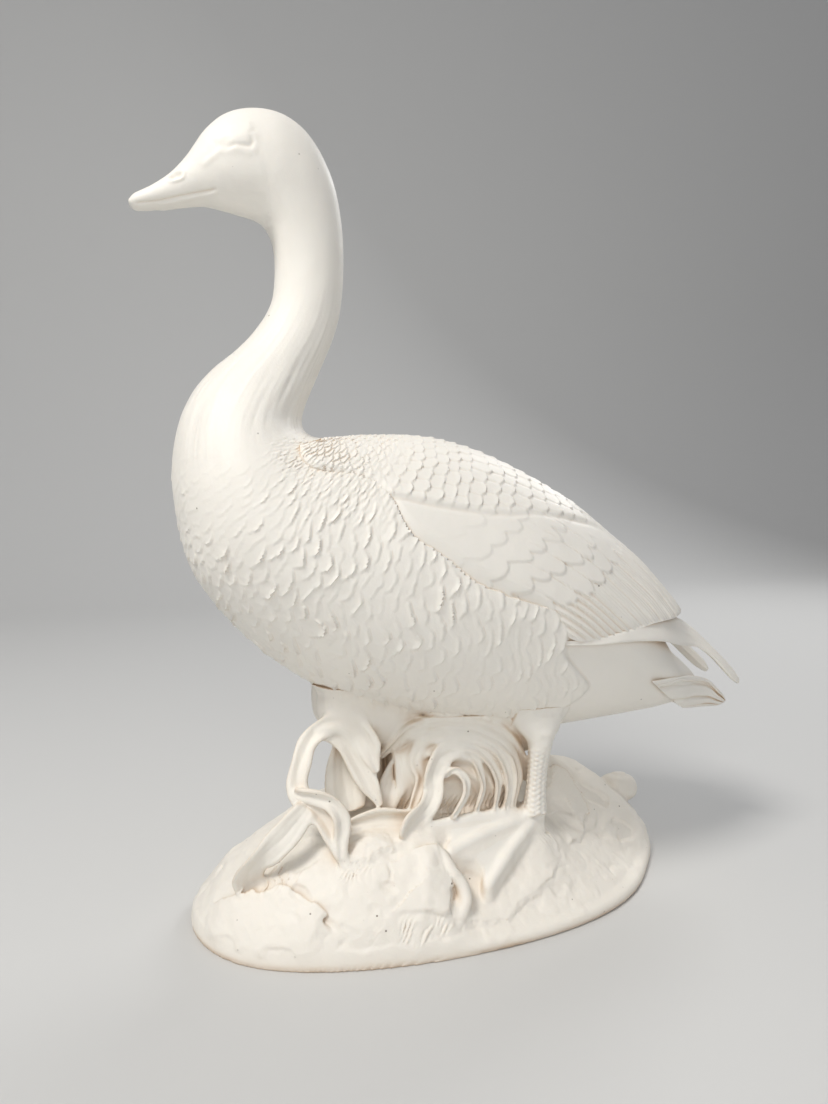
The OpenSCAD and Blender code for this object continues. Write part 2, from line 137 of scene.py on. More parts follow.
def through(points, x):
    """Value at x of a smooth curve through (x, value) points, held flat outside them."""
    xs, ys = np.array(points, float).T
    at = np.interp(x, xs, np.arange(len(xs)))
    flat = cubic(ys, np.asarray(at).ravel())
    return flat.reshape(np.shape(x))


# ---------------- reading the CAD nodes
def cad_mesh(name):
    """Welded vertices in millimetres and triangles of a CAD node."""
    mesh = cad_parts[name].data
    mesh.calc_loop_triangles()
    co = np.empty(len(mesh.vertices) * 3, np.float32)
    mesh.vertices.foreach_get("co", co)
    tris = np.empty(len(mesh.loop_triangles) * 3, np.int32)
    mesh.loop_triangles.foreach_get("vertices", tris)
    co = co.reshape(-1, 3).astype(float) / MM
    _, first, index = np.unique(np.round(co, 2), axis=0, return_index=True, return_inverse=True)
    verts = co[first]
    tris = index.ravel()[tris].reshape(-1, 3)
    whole = (tris[:, 0] != tris[:, 1]) & (tris[:, 1] != tris[:, 2]) & (tris[:, 0] != tris[:, 2])
    return verts, tris[whole]


def links_of(verts, tris):
    links = [set() for _ in verts]
    for a, b, c in tris:
        links[a].update((b, c))
        links[b].update((a, c))
        links[c].update((a, b))
    return links


def plane_of(points):
    """Middle of some points and their main axes, with the normal of their plane last."""
    middle = points.mean(0)
    return middle, np.linalg.svd(points - middle, full_matrices=False)[2]


def end_rings(verts, tris):
    """Vertex lists of the capped ends of a skin. Six edges meet at every vertex away from the
    ends, so an end is a patch of vertices where another number meet."""
    links = links_of(verts, tris)
    odd = {v for v in range(len(verts)) if len(links[v]) != 6}
    found = []
    while odd:
        patch, waiting = set(), [odd.pop()]
        while waiting:
            v = waiting.pop()
            patch.add(v)
            fresh = links[v] & odd
            odd -= fresh
            waiting.extend(fresh)
        p = verts[sorted(patch)]
        middle, axes = plane_of(p)
        off = verts - middle
        reach = norm(p - middle, axis=1).max() + 0.5
        found.append(np.flatnonzero((np.abs(off @ axes[2]) < 0.05) & (norm(off, axis=1) < reach)))
    return found


def in_order(verts, ring):
    """The ring's vertices in turn round its centre."""
    middle, axes = plane_of(verts[ring])
    off = verts[ring] - middle
    return [ring[i] for i in np.argsort(np.arctan2(off @ axes[1], off @ axes[0]))]


def matched(previous, ring):
    """The ring turned, and flipped if need be, to lie along the previous one."""
    best = None
    for candidate in (ring, ring[::-1]):
        for shift in range(len(ring)):
            turned = np.roll(candidate, shift, axis=0)
            gap = np.sum((turned - previous) ** 2)
            if best is None or gap < best[0]:
                best = (gap, turned)
    return best[1]


def rings_from(verts, tris, start):
    """Rings of a skinned CAD solid, walked from a start ring to the last ring of its size."""
    links = links_of(verts, tris)
    seen = set(start)
    layer = list(start)
    rings = [verts[in_order(verts, layer)]]
    while True:
        ahead = set().union(*(links[v] for v in layer)) - seen
        middle, axes = plane_of(verts[layer])
        ahead = {v for v in ahead if abs((verts[v] - middle) @ axes[2]) > 0.3}
        if len(ahead) != len(start):
            return np.array(rings)
        layer = sorted(ahead)
        seen.update(layer)
        rings.append(matched(rings[-1], verts[in_order(verts, layer)]))


def cap_rings(name, end):
    """Rings of a node from the capped end that lies furthest along the direction end."""
    verts, tris = cad_mesh(name)
    start = max(end_rings(verts, tris), key=lambda c: verts[c].mean(0) @ np.array(end, float))
    return rings_from(verts, tris, list(start))


# ---------------- making meshes
def surface_normals(grid, loop):
    """Unit normals of a grid of points. The columns run round, and loop closes them."""
    if loop:
        padded = np.concatenate([grid[:, -1:], grid, grid[:, :1]], axis=1)
        across = padded[:, 2:] - padded[:, :-2]
    else:
        across = np.gradient(grid, axis=1)
    along = np.gradient(grid, axis=0)
    n = np.cross(across, along)
    return n / (norm(n, axis=-1, keepdims=True) + 1e-12)


def grid_faces(rows, columns, loop, start=0):
    j = np.arange(columns if loop else columns - 1)
    i = np.arange(rows - 1)[:, None]
    a = start + i * columns + j
    b = start + i * columns + (j + 1) % columns
    return np.stack([a, b, b + columns, a + columns], axis=-1).reshape(-1, 4)


def length_along(grid):
    """Greatest distance run along the rows of a grid, up to each row."""
    gap = norm(np.diff(grid, axis=0), axis=2).max(1)
    return np.concatenate([[0], np.cumsum(gap)])


def row_at(length, marks):
    """Fractional rows at which the distances run reach marks."""
    return np.interp(marks, length, np.arange(len(length)))


def add_object(name, data):
    made = bpy.data.objects.new(name, data)
    bpy.context.scene.collection.objects.link(made)
    return made


STONE_PIECES = ("base_shell", "rear_stone", "front_support", "front_root")


def new_piece(name, verts, faces, sharp_angle=50):
    """A closed mesh piece that stands for the CAD node of the same name."""
    mesh = bpy.data.meshes.new(name + "_mesh")
    mesh.vertices.add(len(verts))
    mesh.vertices.foreach_set("co", (np.asarray(verts, np.float32) * MM).ravel())
    loops = np.concatenate([np.asarray(f, np.int32).ravel() for f in faces])
    sizes = np.concatenate([np.full(len(f), f.shape[1], np.int32) for f in faces])
    mesh.loops.add(len(loops))
    mesh.loops.foreach_set("vertex_index", loops)
    mesh.polygons.add(len(sizes))
    mesh.polygons.foreach_set("loop_start", (np.cumsum(sizes) - sizes).astype(np.int32))
    mesh.update(calc_edges=True)
    mesh.validate()
    mesh.shade_smooth()
    mesh.set_sharp_from_angle(angle=math.radians(sharp_angle))
    paint, slot = plumage, "plumage"
    if name in STONE_PIECES:
        paint, slot = stone, "rock"
    elif "leaf" in name:
        paint, slot = foliage, "foliage"
    piece = add_object(name + "_skin", mesh)
    piece.data.materials.append(paint)
    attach(piece, "root")
    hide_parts(name)


def end_fan(ring, centre):
    """Triangles that close a ring of vertices over a centre vertex."""
    return np.stack([np.roll(ring, -1), ring, np.full(len(ring), centre)], axis=1)


def shell_piece(name, outer, inner, cap_start=False, cap_end=False):
    """A hollow shell from an outer and an inner grid with the same columns. A capped end is
    closed over on both grids, and an open end joins them with a flat rim."""
    columns = outer.shape[1]
    verts = np.concatenate([outer.reshape(-1, 3), inner.reshape(-1, 3)])
    first, count = len(outer) * columns, len(verts)
    quads = [grid_faces(len(outer), columns, True), grid_faces(len(inner), columns, True, first)[:, ::-1]]
    fans = []
    ring = np.arange(columns)
    ends = ((cap_start, ring, ring + first, 1), (cap_end, ring + first - columns, ring + count - columns, -1))
    for capped, out_ring, in_ring, order in ends:
        if capped:
            centres = [verts[out_ring].mean(0), verts[in_ring].mean(0)]
            fans.append(end_fan(out_ring, len(verts))[:, ::order])
            fans.append(end_fan(in_ring, len(verts) + 1)[:, ::-order])
            verts = np.concatenate([verts, centres])
        else:
            rim = [np.roll(out_ring, -1), out_ring, in_ring, np.roll(in_ring, -1)]
            quads.append(np.stack(rim, axis=1)[:, ::order])
    new_piece(name, verts, [np.concatenate(quads)] + fans)


# ---------------- bisque
BLACK, WHITE = (0, 0, 0, 1), (1, 1, 1, 1)


def put(target, value):
    """Sets an input of a shader node, or links it to an output."""
    if isinstance(value, bpy.types.NodeSocket):
        target.id_data.links.new(value, target)
    else:
        target.default_value = value


def feed(node, **inputs):
    """Puts values into the inputs of a node, named with _ for each space."""
    for key, value in inputs.items():
        put(node.inputs[key.replace("_", " ")], value)
    return node


def bisque(name, colour, painted_shade_tint, pit_share, grain, rough):
    """Unglazed white ceramic: fine grain, soft clouding, painted tan shade in the creases and hollows, and
    dark pinholes.
    """
    m = bpy.data.materials.new(name)
    m.use_nodes = True
    nodes = m.node_tree.nodes

    def add(kind, **inputs):
        return feed(nodes.new("ShaderNode" + kind), **inputs)

    where = add("TexCoord").outputs["Object"]

    def cloud(scale, detail):
        return add("TexNoise", Vector=where, Scale=scale, Detail=detail).outputs["Fac"]

    def ramp(source, low, high, first=BLACK, last=WHITE):
        r = add("ValToRGB", Fac=source)
        start, end = r.color_ramp.elements
        start.position, start.color = low, first
        end.position, end.color = high, last
        return r.outputs["Color"]

    def mix(factor, a, b):
        n = add("Mix")
        n.data_type = "RGBA"
        for index, value in ((0, factor), (6, a), (7, b)):
            put(n.inputs[index], value)
        return n.outputs[2]

    def product(a, b):
        n = add("Math")
        n.operation = "MULTIPLY"
        put(n.inputs[0], a)
        put(n.inputs[1], b)
        return n.outputs[0]

    base = mix(ramp(cloud(14, 4), 0.35, 0.7), colour, tuple(c * 0.965 for c in colour[:3]) + (1,))
    # Painted shade: a tan tint laid into concave creases found by pointiness and, in random patches, into
    # hollows that ambient occlusion finds dark.
    creases = ramp(add("NewGeometry").outputs["Pointiness"], 0.42, 0.49, (0.55, 0.55, 0.55, 1), BLACK)
    base = mix(creases, base, painted_shade_tint)
    shade = add("AmbientOcclusion", Distance=0.012)
    shade.samples = 6
    hollows = ramp(shade.outputs["AO"], 0.35, 0.85, WHITE, BLACK)
    patches = ramp(cloud(22, 3), 0.3, 0.65, (0.35, 0.35, 0.35, 1))
    base = mix(product(hollows, patches), base, painted_shade_tint)
    pits = add("TexVoronoi", Vector=where, Scale=260)
    picked = ramp(pits.outputs["Color"], 1 - 2 * pit_share, 1 - pit_share)
    hole = ramp(pits.outputs["Distance"], 0.1, 0.16, WHITE, BLACK)
    base = mix(product(picked, hole), base, (0.16, 0.13, 0.1, 1))
    gloss = ramp(cloud(30, 3), 0.3, 0.7, (rough - 0.06,) * 3 + (1,), (rough + 0.08,) * 3 + (1,))
    fine = add("Bump", Strength=grain, Distance=0.00012, Height=cloud(1500, 3))
    coarse = add("Bump", Strength=grain, Distance=0.0004, Height=cloud(260, 3), Normal=fine.outputs["Normal"])
    shader = feed(nodes["Principled BSDF"], Base_Color=base, Roughness=gloss, Normal=coarse.outputs["Normal"])
    feed(shader, Specular_IOR_Level=0.32, Subsurface_Weight=0.06, Subsurface_Scale=0.5)
    feed(shader, Subsurface_Radius=(0.004, 0.003, 0.002))
    return m


IVORY = (0.86, 0.83, 0.765, 1)
# The tan below and the second colour given to each bisque are painted shade for the creases and hollows.
PAINTED_SHADE_TAN = (0.66, 0.52, 0.38, 1)
plumage = bisque("bisque_plumage", IVORY, PAINTED_SHADE_TAN, 0.05, 0.35, 0.5)
stone = bisque("bisque_stone", (0.85, 0.81, 0.735, 1), (0.6, 0.45, 0.31, 1), 0.1, 0.6, 0.58)
foliage = bisque("bisque_leaves", (0.86, 0.825, 0.75, 1), (0.62, 0.47, 0.33, 1), 0.1, 0.35, 0.5)


# ---------------- goose skin
WALL = 4.0
SOLID_BILL = 60             # fine rows without a hollow at the bill, and at the rump
SOLID_RUMP = 40
INNER_STEP = 6              # fine rows between two rows of the inner wall
RINGS_PER_ROW = 2           # the CAD skin has two rings for each whole ring number
COLUMNS = 448
ROW_STEP = 1.05
FEATHER_PITCH = 0.27        # ring numbers between one row of feather tips and the next


def from_the_back(ring, previous=None):
    """The ring turned to start at the back and to go round by the left side first."""
    middle = [k for k in range(len(ring)) if abs(ring[k][1]) < 0.05]
    if previous is None:
        back = max(middle, key=lambda k: ring[k][2])
    else:
        back = min(middle, key=lambda k: norm(ring[k] - previous))
    ring = np.roll(ring, -back, axis=0)
    if ring[1][1] > 0:
        ring = np.roll(ring[::-1], 1, axis=0)
    return ring


def goose_rings():
    """Rings of the whole goose from bill tip to tail, all with COLUMNS points, and the ring
    numbers where the neck and the body begin."""
    head = cap_rings("head_shell", (-1, 0, 0))
    verts, tris = cad_mesh("neck_shell")
    start = {int(np.argmin(np.sum((verts - p) ** 2, axis=1))) for p in head[-1]}
    neck = rings_from(verts, tris, sorted(start))
    body = cap_rings("body_shell", (1, 0, 0))[::-1]
    around = np.arange(COLUMNS) / COLUMNS
    rings = []
    for part in (head, neck[1:], body[1:]):
        for ring in part:
            ring = from_the_back(ring, rings[-1][0] if rings else None)
            rings.append(cubic(ring, around * len(ring), loop=True))
    return np.array(rings), len(head) - 1, len(head) + len(neck) - 2


rings, neck_at, body_at = goose_rings()


def spread(low, high):
    """Fractional ring places from low to high, ROW_STEP apart where the rings are widest."""
    length = length_along(rings[:, :: COLUMNS // 32])
    first, last = np.interp([low, high], np.arange(len(length)), length)
    places = row_at(length, np.linspace(first, last, int((last - first) / ROW_STEP) + 1))
    places[0], places[-1] = low, high
    return places


places = [spread(*ends) for ends in ((0, neck_at), (neck_at, body_at), (body_at, len(rings) - 1))]
joins = np.cumsum([0] + [len(p) - 1 for p in places])
all_places = np.concatenate([places[0], places[1][1:], places[2][1:]])
skin = cubic(rings, all_places)
calm = between(all_places / RINGS_PER_ROW, 7, 12, 1.5)[:, None, None]
skin = skin + calm * (soften(skin, 0, 45) - skin)
inside = skin - WALL * surface_normals(skin, True)
ring_no = np.broadcast_to((all_places / RINGS_PER_ROW)[:, None], skin.shape[:2])
angle = np.arange(COLUMNS) * 360 / COLUMNS
down = np.broadcast_to(np.minimum(angle, 360 - angle), skin.shape[:2])
half_turn = COLUMNS // 2


def arcs(grid):
    """Distance round each ring from the back, measured down either side."""
    step = norm(np.roll(grid, -1, axis=1) - grid, axis=2)
    left = np.cumsum(np.pad(step[:, :half_turn], ((0, 0), (1, 0))), axis=1)
    return np.concatenate([left, left[:, half_turn - 1 : 0 : -1]], axis=1)


arc = arcs(skin)


def skin_point(t, phi):
    """Point of the smooth left side at ring number t, phi degrees down from the back."""
    row = np.interp(t * RINGS_PER_ROW, all_places, np.arange(len(all_places)))
    side = skin[int(round(float(row))), : half_turn + 1]
    return cubic(side, np.array([phi / 180 * half_turn]))[0]


def near_path(points, path):
    """Distance from each point to a line of points, the share of the line passed, and the
    side in plan: 1 on its left, -1 on its right."""
    path = np.asarray(path, float)
    best = np.full(points.shape[:-1], 1e9)
    share, side = np.zeros_like(best), np.zeros_like(best)
    for k, (a, b) in enumerate(zip(path, path[1:])):
        way = b - a
        f = np.clip(((points - a) @ way) / (way @ way), 0, 1)
        off = points - (a + f[..., None] * way)
        d = norm(off, axis=-1)
        closer = d < best
        best = np.where(closer, d, best)
        share = np.where(closer, (k + f) / (len(path) - 1), share)
        side = np.where(closer, np.sign(way[0] * off[..., 1] - way[1] * off[..., 0]), side)
    return best, share, side


def faded(share, soft=0.15):
    """1 along a line, fading to 0 at both its ends."""
    return ease(share / soft) * ease((1 - share) / soft)


def shingles(w, v, width, salt, tip=0.75):
    """Overlapping feathers with tips along whole numbers of w. Gives the share passed along
    the feather on top, how far off its middle the point is, and its own random number."""
    row = np.floor(w)
    edges, marks = [], []
    for k in (-1, 0, 1):
        i = row + k
        place = v / width + 0.5 * (i % 2) + 0.25 * (scatter(i, salt) - 0.5)
        j = np.floor(place)
        off = 2 * (place - j) - 1
        luck = scatter(i, j, salt + 1)
        edges.append(i + tip * (1 - np.abs(off) ** 2.4) + 0.22 * (luck - 0.5) * (1 - off**2))
        marks.append((off, luck))
    on_top = w <= edges[1]
    start = np.where(on_top, edges[0], edges[1])
    end = np.where(on_top, edges[1], edges[2])
    share = np.clip((w - start) / (end - start), 0, 1)
    off = np.where(on_top, marks[1][0], marks[2][0])
    luck = np.where(on_top, marks[1][1], marks[2][1])
    return share, off, luck


FLANK_END = (
    (95, 31.7), (102, 31.85), (108, 32.3), (114, 32.75), (123, 32.7), (134, 32.45), (160, 32), (180, 31.8),
)
WING_LOW = (
    (22, 56), (23.4, 61), (24.5, 57), (25.8, 57), (26.5, 62), (27.5, 74), (28.4, 78), (29.4, 84), (31, 86),
)


def goose_relief():
    """Height of feathers, furrows and head features over the smooth goose."""
    t, phi = ring_no, down
    w = (t - 20.6) / FEATHER_PITCH - 0.058 * arc + 0.7 * noise_at(skin, 21, 11) + 0.3 * noise_at(skin, 8, 14)
    v = arc + 4.2 * noise_at(skin, 15, 12) + 1.2 * noise_at(skin, 6, 15)
    share, off, luck = shingles(w, v, 15, 13, tip=0.45)
    blade = share**2 * (0.3 + 0.9 * luck) * (1 - 0.5 * np.abs(off) ** 3)
    ridge = bell(1 - share, 0.17) * (0.25 + 1.2 * luck) * (1 - 0.85 * off**2)
    strokes = noise(v / 3.2, w * 0.8, 0, 16) * ease(share / 0.5)
    feathers = 0.5 * blade + 0.7 * ridge + 0.16 * strokes - 0.25
    feathers = feathers * (1 + 0.5 * noise_at(skin, 26, 17))

    flank_end = through(FLANK_END, phi)
    covered = ease((flank_end - t) / 0.35 + 0.5)
    strength = ease(t, 20.3, 3.2) * covered
    quiet_breast = 1 - 0.75 * between(t, 19, 23.6, 2.5) * between(phi, 70, 138, 40)
    strength = strength * quiet_breast * (1 - 0.45 * ease(phi, 158, 20))
    height = strength * feathers

    crowded = between(t, 21.4, 27.2, 1.2) * between(phi, 42, 74, 14)
    fine = (t - 21) / 0.16 + 0.4 * noise_at(skin, 9, 21)
    ripple_share, _, ripple_luck = shingles(fine, arc + 1.5 * noise_at(skin, 7, 22), 9, 23)
    height = height * (1 - 0.6 * crowded) + crowded * 0.55 * (ripple_share**1.5 - 0.3) * (0.5 + ripple_luck)

    lobe = ease((flank_end - t) / 0.22 + 0.5)
    lobe_zone = ease(t, 30.6, 1.2) * ease(phi, 84, 14)
    height += lobe_zone * (2.3 * lobe - 1.2)

    wing_low = through(WING_LOW, np.clip(t, 22, 31))
    below_wing = (phi - wing_low) * arc.max(1, keepdims=True) / 180
    puff = between(t, 24.2, 31.4, 2) * bell(np.clip(below_wing - 2, 0, 99), 11) * (below_wing > -4)
    height += 2.1 * puff

    turn = phi / 180 * np.pi
    neck = between(t, 14, 21, 4)
    furrow = noise(t * 0.55, turn * 9 + 0.6 * noise_at(skin, 30, 31), 0, 32)
    fine_furrow = noise(t * 0.9, turn * 22, 5, 33)
    furrow_depth = neck * (0.25 + 0.75 * ease(t, 16, 3)) * (1 - 0.5 * between(phi, 60, 110, 40))
    height += furrow_depth * (0.55 * furrow + 0.25 * fine_furrow)
    height += 0.12 * noise_at(skin, 9, 41) + 0.3 * noise_at(skin, 38, 42)
    return height * ease(t, 39, -1.2) + head_relief()


def head_relief():
    """Eye, lore, nostril and mouth, the same on both sides."""
    folded = np.stack([skin[..., 0], -np.abs(skin[..., 1]), skin[..., 2]], axis=-1)

    def groove(path, depth, width, soft_ends=True):
        d, share, _ = near_path(folded, [skin_point(*p) for p in path])
        return depth * bell(d, width) * (faded(share) if soft_ends else 1)

    axis = skin_point(7.3, 73) - skin_point(6.0, 76)
    axis /= norm(axis)
    q = folded - skin_point(6.65, 73)
    along = q @ axis
    off = np.sqrt(np.maximum(np.sum(q * q, axis=-1) - along**2, 0))
    height = 1.1 * np.exp(-((along / 7.5) ** 4) - (off / 4.6) ** 2)
    height -= groove([(5.6, 80), (6.2, 80), (6.6, 83), (6.95, 84), (7.2, 79), (7.1, 70)], 0.6, 1.1)
    height += groove([(5.4, 84), (6.2, 85), (6.8, 90), (7.5, 86)], 0.4, 2.2)
    height -= groove([(7.1, 70), (7.35, 67)], 0.35, 0.9, False)
    height += groove([(5.2, 66), (6.3, 58), (7.4, 60)], 0.5, 3.2)
    height += groove([(4.3, 84), (5.0, 82), (5.6, 79)], 0.5, 1.8)
    nostril, _, _ = near_path(folded, [skin_point(*p) for p in ((2.95, 59), (3.1, 63), (3.3, 67))])
    height += 0.6 * bell(nostril - 2.5, 0.9) - 0.8 * bell(nostril, 1.2)
    mouth = [(0.7, 118), (1.3, 122), (2.05, 127), (3.05, 126), (3.9, 131), (4.4, 130), (4.9, 126)]
    height -= groove(mouth, 0.85, 0.8)
    lower_lip = [(1.9, 142), (2.6, 140), (3.4, 140), (4.3, 139), (4.8, 132)]
    height += groove(lower_lip, 0.8, 1.5)
    cheek = [(5.2, 118), (6.5, 112), (8, 105)]
    return height + groove(cheek, 0.2, 8)


carved = skin + goose_relief()[..., None] * surface_normals(skin, True)


def goose_piece(name, part, every, **caps):
    """One shell of the goose. Its inner wall has fewer rows and stops short of a cap."""
    low, high = joins[part], joins[part + 1]
    inner_low = low + SOLID_BILL * caps.get("cap_start", False)
    inner_high = high - SOLID_RUMP * caps.get("cap_end", False)
    rows = np.unique(np.append(np.arange(inner_low, inner_high, INNER_STEP), inner_high))
    shell_piece(name, carved[low : high + 1, ::every], inside[rows, ::every], **caps)


goose_piece("head_shell", 0, 2, cap_start=True)
goose_piece("neck_shell", 1, 2)
goose_piece("body_shell", 2, 1, cap_end=True)


# ---------------- wings
SCAPULAR_LOW = (
    (25.2, 74), (26.5, 77), (27.7, 77), (28.9, 73), (29.6, 66), (30.1, 58), (31, 47), (31.8, 36), (32.8, 24),
)
COVERT_TIPS = (
    (0, 33.2), (40, 32.7), (60, 32.3), (69, 32.15), (81, 31.85), (90, 31.6), (97, 31.3),
    (104, 31.15), (112, 30.9),
)


WING_PLACES = np.arange(42.8, 76, 0.25)     # ring places whose planes cross a wing
WING_DEGREES = np.arange(0.5, 130, 0.3)     # directions of the rays in each plane
WING_LINE = 60              # points down a wing in each plane, and the columns drawn from them
WING_COLUMNS = 150
WING_STEP = 0.9
RAY_REACH = 260
RAY_STEP = 0.05             # how far past a hit the next ray starts


def outermost(tree, centre, way):
    """Distance along a ray to the last surface of the tree that faces along it, or None."""
    start, way = Vector(centre), Vector(way)
    found, passed = None, 0
    while True:
        hit, normal, _, distance = tree.ray_cast(start, way, RAY_REACH - passed)
        if hit is None:
            return found
        if normal.dot(way) > 0:
            found = passed + distance
        passed += distance + RAY_STEP
        start = hit + way * RAY_STEP


def wing_skin(name):
    """Outer face of a folded wing as a grid, with its ring numbers and its distance from the
    back. The lines run down the wing in the planes of the goose's rings."""
    tree = BVHTree.FromPolygons(*(part.tolist() for part in cad_mesh(name)))
    mirror = (1, 1 if name.startswith("left") else -1, 1)
    lines, marks = [], []
    for place in WING_PLACES:
        ring = cubic(rings, np.array([place]))[0]
        centre = (ring[0] + ring[half_turn]) / 2
        ways = cubic(ring, WING_DEGREES / 360 * COLUMNS, loop=True) * mirror - centre
        ways /= norm(ways, axis=1)[:, None]
        reach = [outermost(tree, centre, way) for way in ways]
        hits = [k for k, r in enumerate(reach) if r is not None]
        if len(hits) >= 12:
            lines.append((centre, ways, WING_DEGREES[hits], [reach[k] for k in hits]))
            marks.append(place / RINGS_PER_ROW)
    top, low = (soften(np.array([line[2][end] for line in lines]), 0, 2) for end in (0, -1))
    across = np.linspace(0, 1, WING_LINE)
    radius, ways = [], []
    for (_, way, seen, reach), first, last in zip(lines, top, low):
        at = first + across * (last - first)
        radius.append(np.interp(at, seen, reach))
        ways.append(np.stack([np.interp(at, WING_DEGREES, way[:, c]) for c in range(3)], axis=1))
    radius = soften(soften(np.array(radius), 0, 5), 1, 6)
    ways = np.array(ways)
    ways /= norm(ways, axis=2, keepdims=True)
    coarse = np.array([line[0] for line in lines])[:, None] + ways * radius[..., None]
    length = length_along(coarse)
    at = row_at(length, np.arange(0, length[-1], WING_STEP))
    down_lines = np.linspace(0, WING_LINE - 1, WING_COLUMNS)
    fine = cubic(cubic(coarse, at).transpose(1, 0, 2), down_lines).transpose(1, 0, 2)
    start = norm(fine[:, 0] * (0, 1, 0), axis=1) * 1.04
    run = np.cumsum(norm(np.diff(fine, axis=1), axis=2), axis=1)
    far = start[:, None] + np.pad(run, ((0, 0), (1, 0)))
    ring_marks = np.interp(at, np.arange(len(marks)), marks)
    return fine, np.broadcast_to(ring_marks[:, None], far.shape), far


def blades(far, pitch, rise, drop=0.16):
    """Feathers that overlap down the wing: each rises to its lower edge and drops there."""
    f = (far / pitch) % 1
    return rise * (f ** 1.4 * (f < 1 - drop) + (1 - drop) ** 1.4 * ((1 - f) / drop) * (f >= 1 - drop))


def wing_relief(grid, t, far, salt):
    far = far + 0.5 * noise_at(grid, 22, salt)
    scapular_low = through(SCAPULAR_LOW, t)
    scapular = ease((scapular_low - far) / 5 + 0.5)
    rear = ease(t, 31.2, 1.2)
    height = 1.1 * scapular * (1 - 0.75 * rear)
    height -= 0.6 * bell(far - scapular_low - 2, 1.8) * (1 - rear)

    w = (t - 24) / 0.4 + 0.35 * noise_at(grid, 20, salt + 1)
    v = far + 1.6 * noise_at(grid, 16, salt + 2)
    share, off, luck = shingles(w, v, 9.2, salt + 3, tip=0.22)
    scales = 0.6 * share**1.3 * (0.5 + 0.6 * luck) + 0.3 * bell(1 - share, 0.2)
    scales = scales - 0.45 * ease((np.abs(off) - 0.72) / 0.28)
    zone = scapular * ease(t, 25.6, 1.4) * (1 - ease(t, 31, 1.6))
    height += zone * scales

    fine = (t - 21) / 0.2 - 0.05 * far + 0.5 * noise_at(grid, 9, salt + 4)
    ripple, _, luck = shingles(fine, far + 2 * noise_at(grid, 8, salt + 5), 11, salt + 6)
    front = 1 - ease(t, 25.4, 1.6)
    height += front * 0.8 * (ripple**1.4 - 0.3) * (0.5 + luck)

    covert_line = through(COVERT_TIPS, far)
    cell = far / 11.6 + 0.18
    off = 2 * (cell % 1) - 1
    luck = scatter(np.floor(cell), salt + 7)
    tip = covert_line + 0.3 * (1 - np.abs(off) ** 2.6) + 0.16 * (luck - 0.5) - 0.14
    on_covert = ease((tip - t) / 0.07 + 0.5)
    low_wing = ease(far, 42, 18) * (1 - scapular)
    height += 1.15 * on_covert * low_wing * ease(t, 28.6, 2)
    seams = ease((np.abs(off) - 0.86) / 0.14) * on_covert * low_wing * ease(t, 29.6, 1.4)
    height -= 0.5 * seams
    for back, strength in ((0.8, 0.8), (1.6, 0.65), (2.4, 0.5), (3.2, 0.45), (4, 0.4)):
        cell = far / 10.4 + 0.5 * back + 0.35 * noise_at(grid, 25, salt + 8)
        off = 2 * (cell % 1) - 1
        tip = covert_line - back + 0.24 * (1 - np.abs(off) ** 2.4) + 0.2 * noise_at(grid, 18, salt + 9)
        zone = low_wing * ease(t, 27.8, 1.8)
        height += strength * (ease((tip - t) / 0.1 + 0.5) - 0.5) * zone

    behind = (1 - on_covert) * ease(t, 30.2, 0.6) * (1 - 0.6 * scapular)
    outer = ease(far, 80, 5)
    blade = outer * blades(far + 1.4 * (t - 32), 4.05, 2.3, 0.26)
    inner = (1 - outer) * (1 - ease(far, 34, -8)) * blades(far + 0.9 * (t - 32), 7.6, 0.8, 0.12)
    barbs = (1 - outer) * 0.2 * np.sin(far * 2 * np.pi / 2.3 + 1.5 * noise_at(grid, 14, salt + 10))
    height += behind * (blade + inner + barbs)
    edge_lines = ease(far, 34, -8) * ease(t, 30.4, 1.2)
    height += edge_lines * (blades(far, 4.4, 0.6, 0.14) + 0.1 * np.sin(far * 2.6))
    return height + 0.1 * noise_at(grid, 8, salt + 11)


def wing_piece(name, salt):
    grid, t, far = wing_skin(name)
    out = surface_normals(grid, False)
    if name.startswith("right"):
        out = -out
    rows, columns = grid.shape[:2]
    f = np.linspace(0, 1, columns)[None]
    g = np.linspace(0, 1, rows)[:, None]
    to_edge = np.minimum(np.minimum(f, 1 - f) * columns * 0.8, np.minimum(g, 1 - g) * rows * 0.9)
    rounded = ease(to_edge / 2.5)
    height = wing_relief(grid, t, far, salt) * (0.35 + 0.65 * rounded) - 0.5 * (1 - rounded)
    ahead = 1 - ease(t, 30.8, 1.2)
    low_edge = 1 - ease((1 - f) * columns * 0.8 / 12)
    front_edge = 1 - ease(g * rows * 0.9 / 14)
    height -= 2.2 * ahead * np.maximum(low_edge, front_edge)
    outer = grid + height[..., None] * out
    thickness = 0.9 + 1.5 * ease(to_edge / 12)
    inner = outer - (thickness + 0.4)[..., None] * out
    count = rows * columns
    face, back = grid_faces(rows, columns, False), grid_faces(rows, columns, False, count)[:, ::-1]
    index = np.arange(count).reshape(rows, columns)
    border = np.concatenate([index[0], index[1:, -1], index[-1, -2::-1], index[-2:0:-1, 0]])
    ahead = np.roll(border, -1)
    rim = np.stack([border, border + count, ahead + count, ahead], axis=1)
    faces = np.concatenate([face, back, rim])
    if name.startswith("right"):
        faces = faces[:, ::-1]
    new_piece(name, np.concatenate([outer.reshape(-1, 3), inner.reshape(-1, 3)]), [faces])


wing_piece("left_wing", 100)
wing_piece("right_wing", 130)


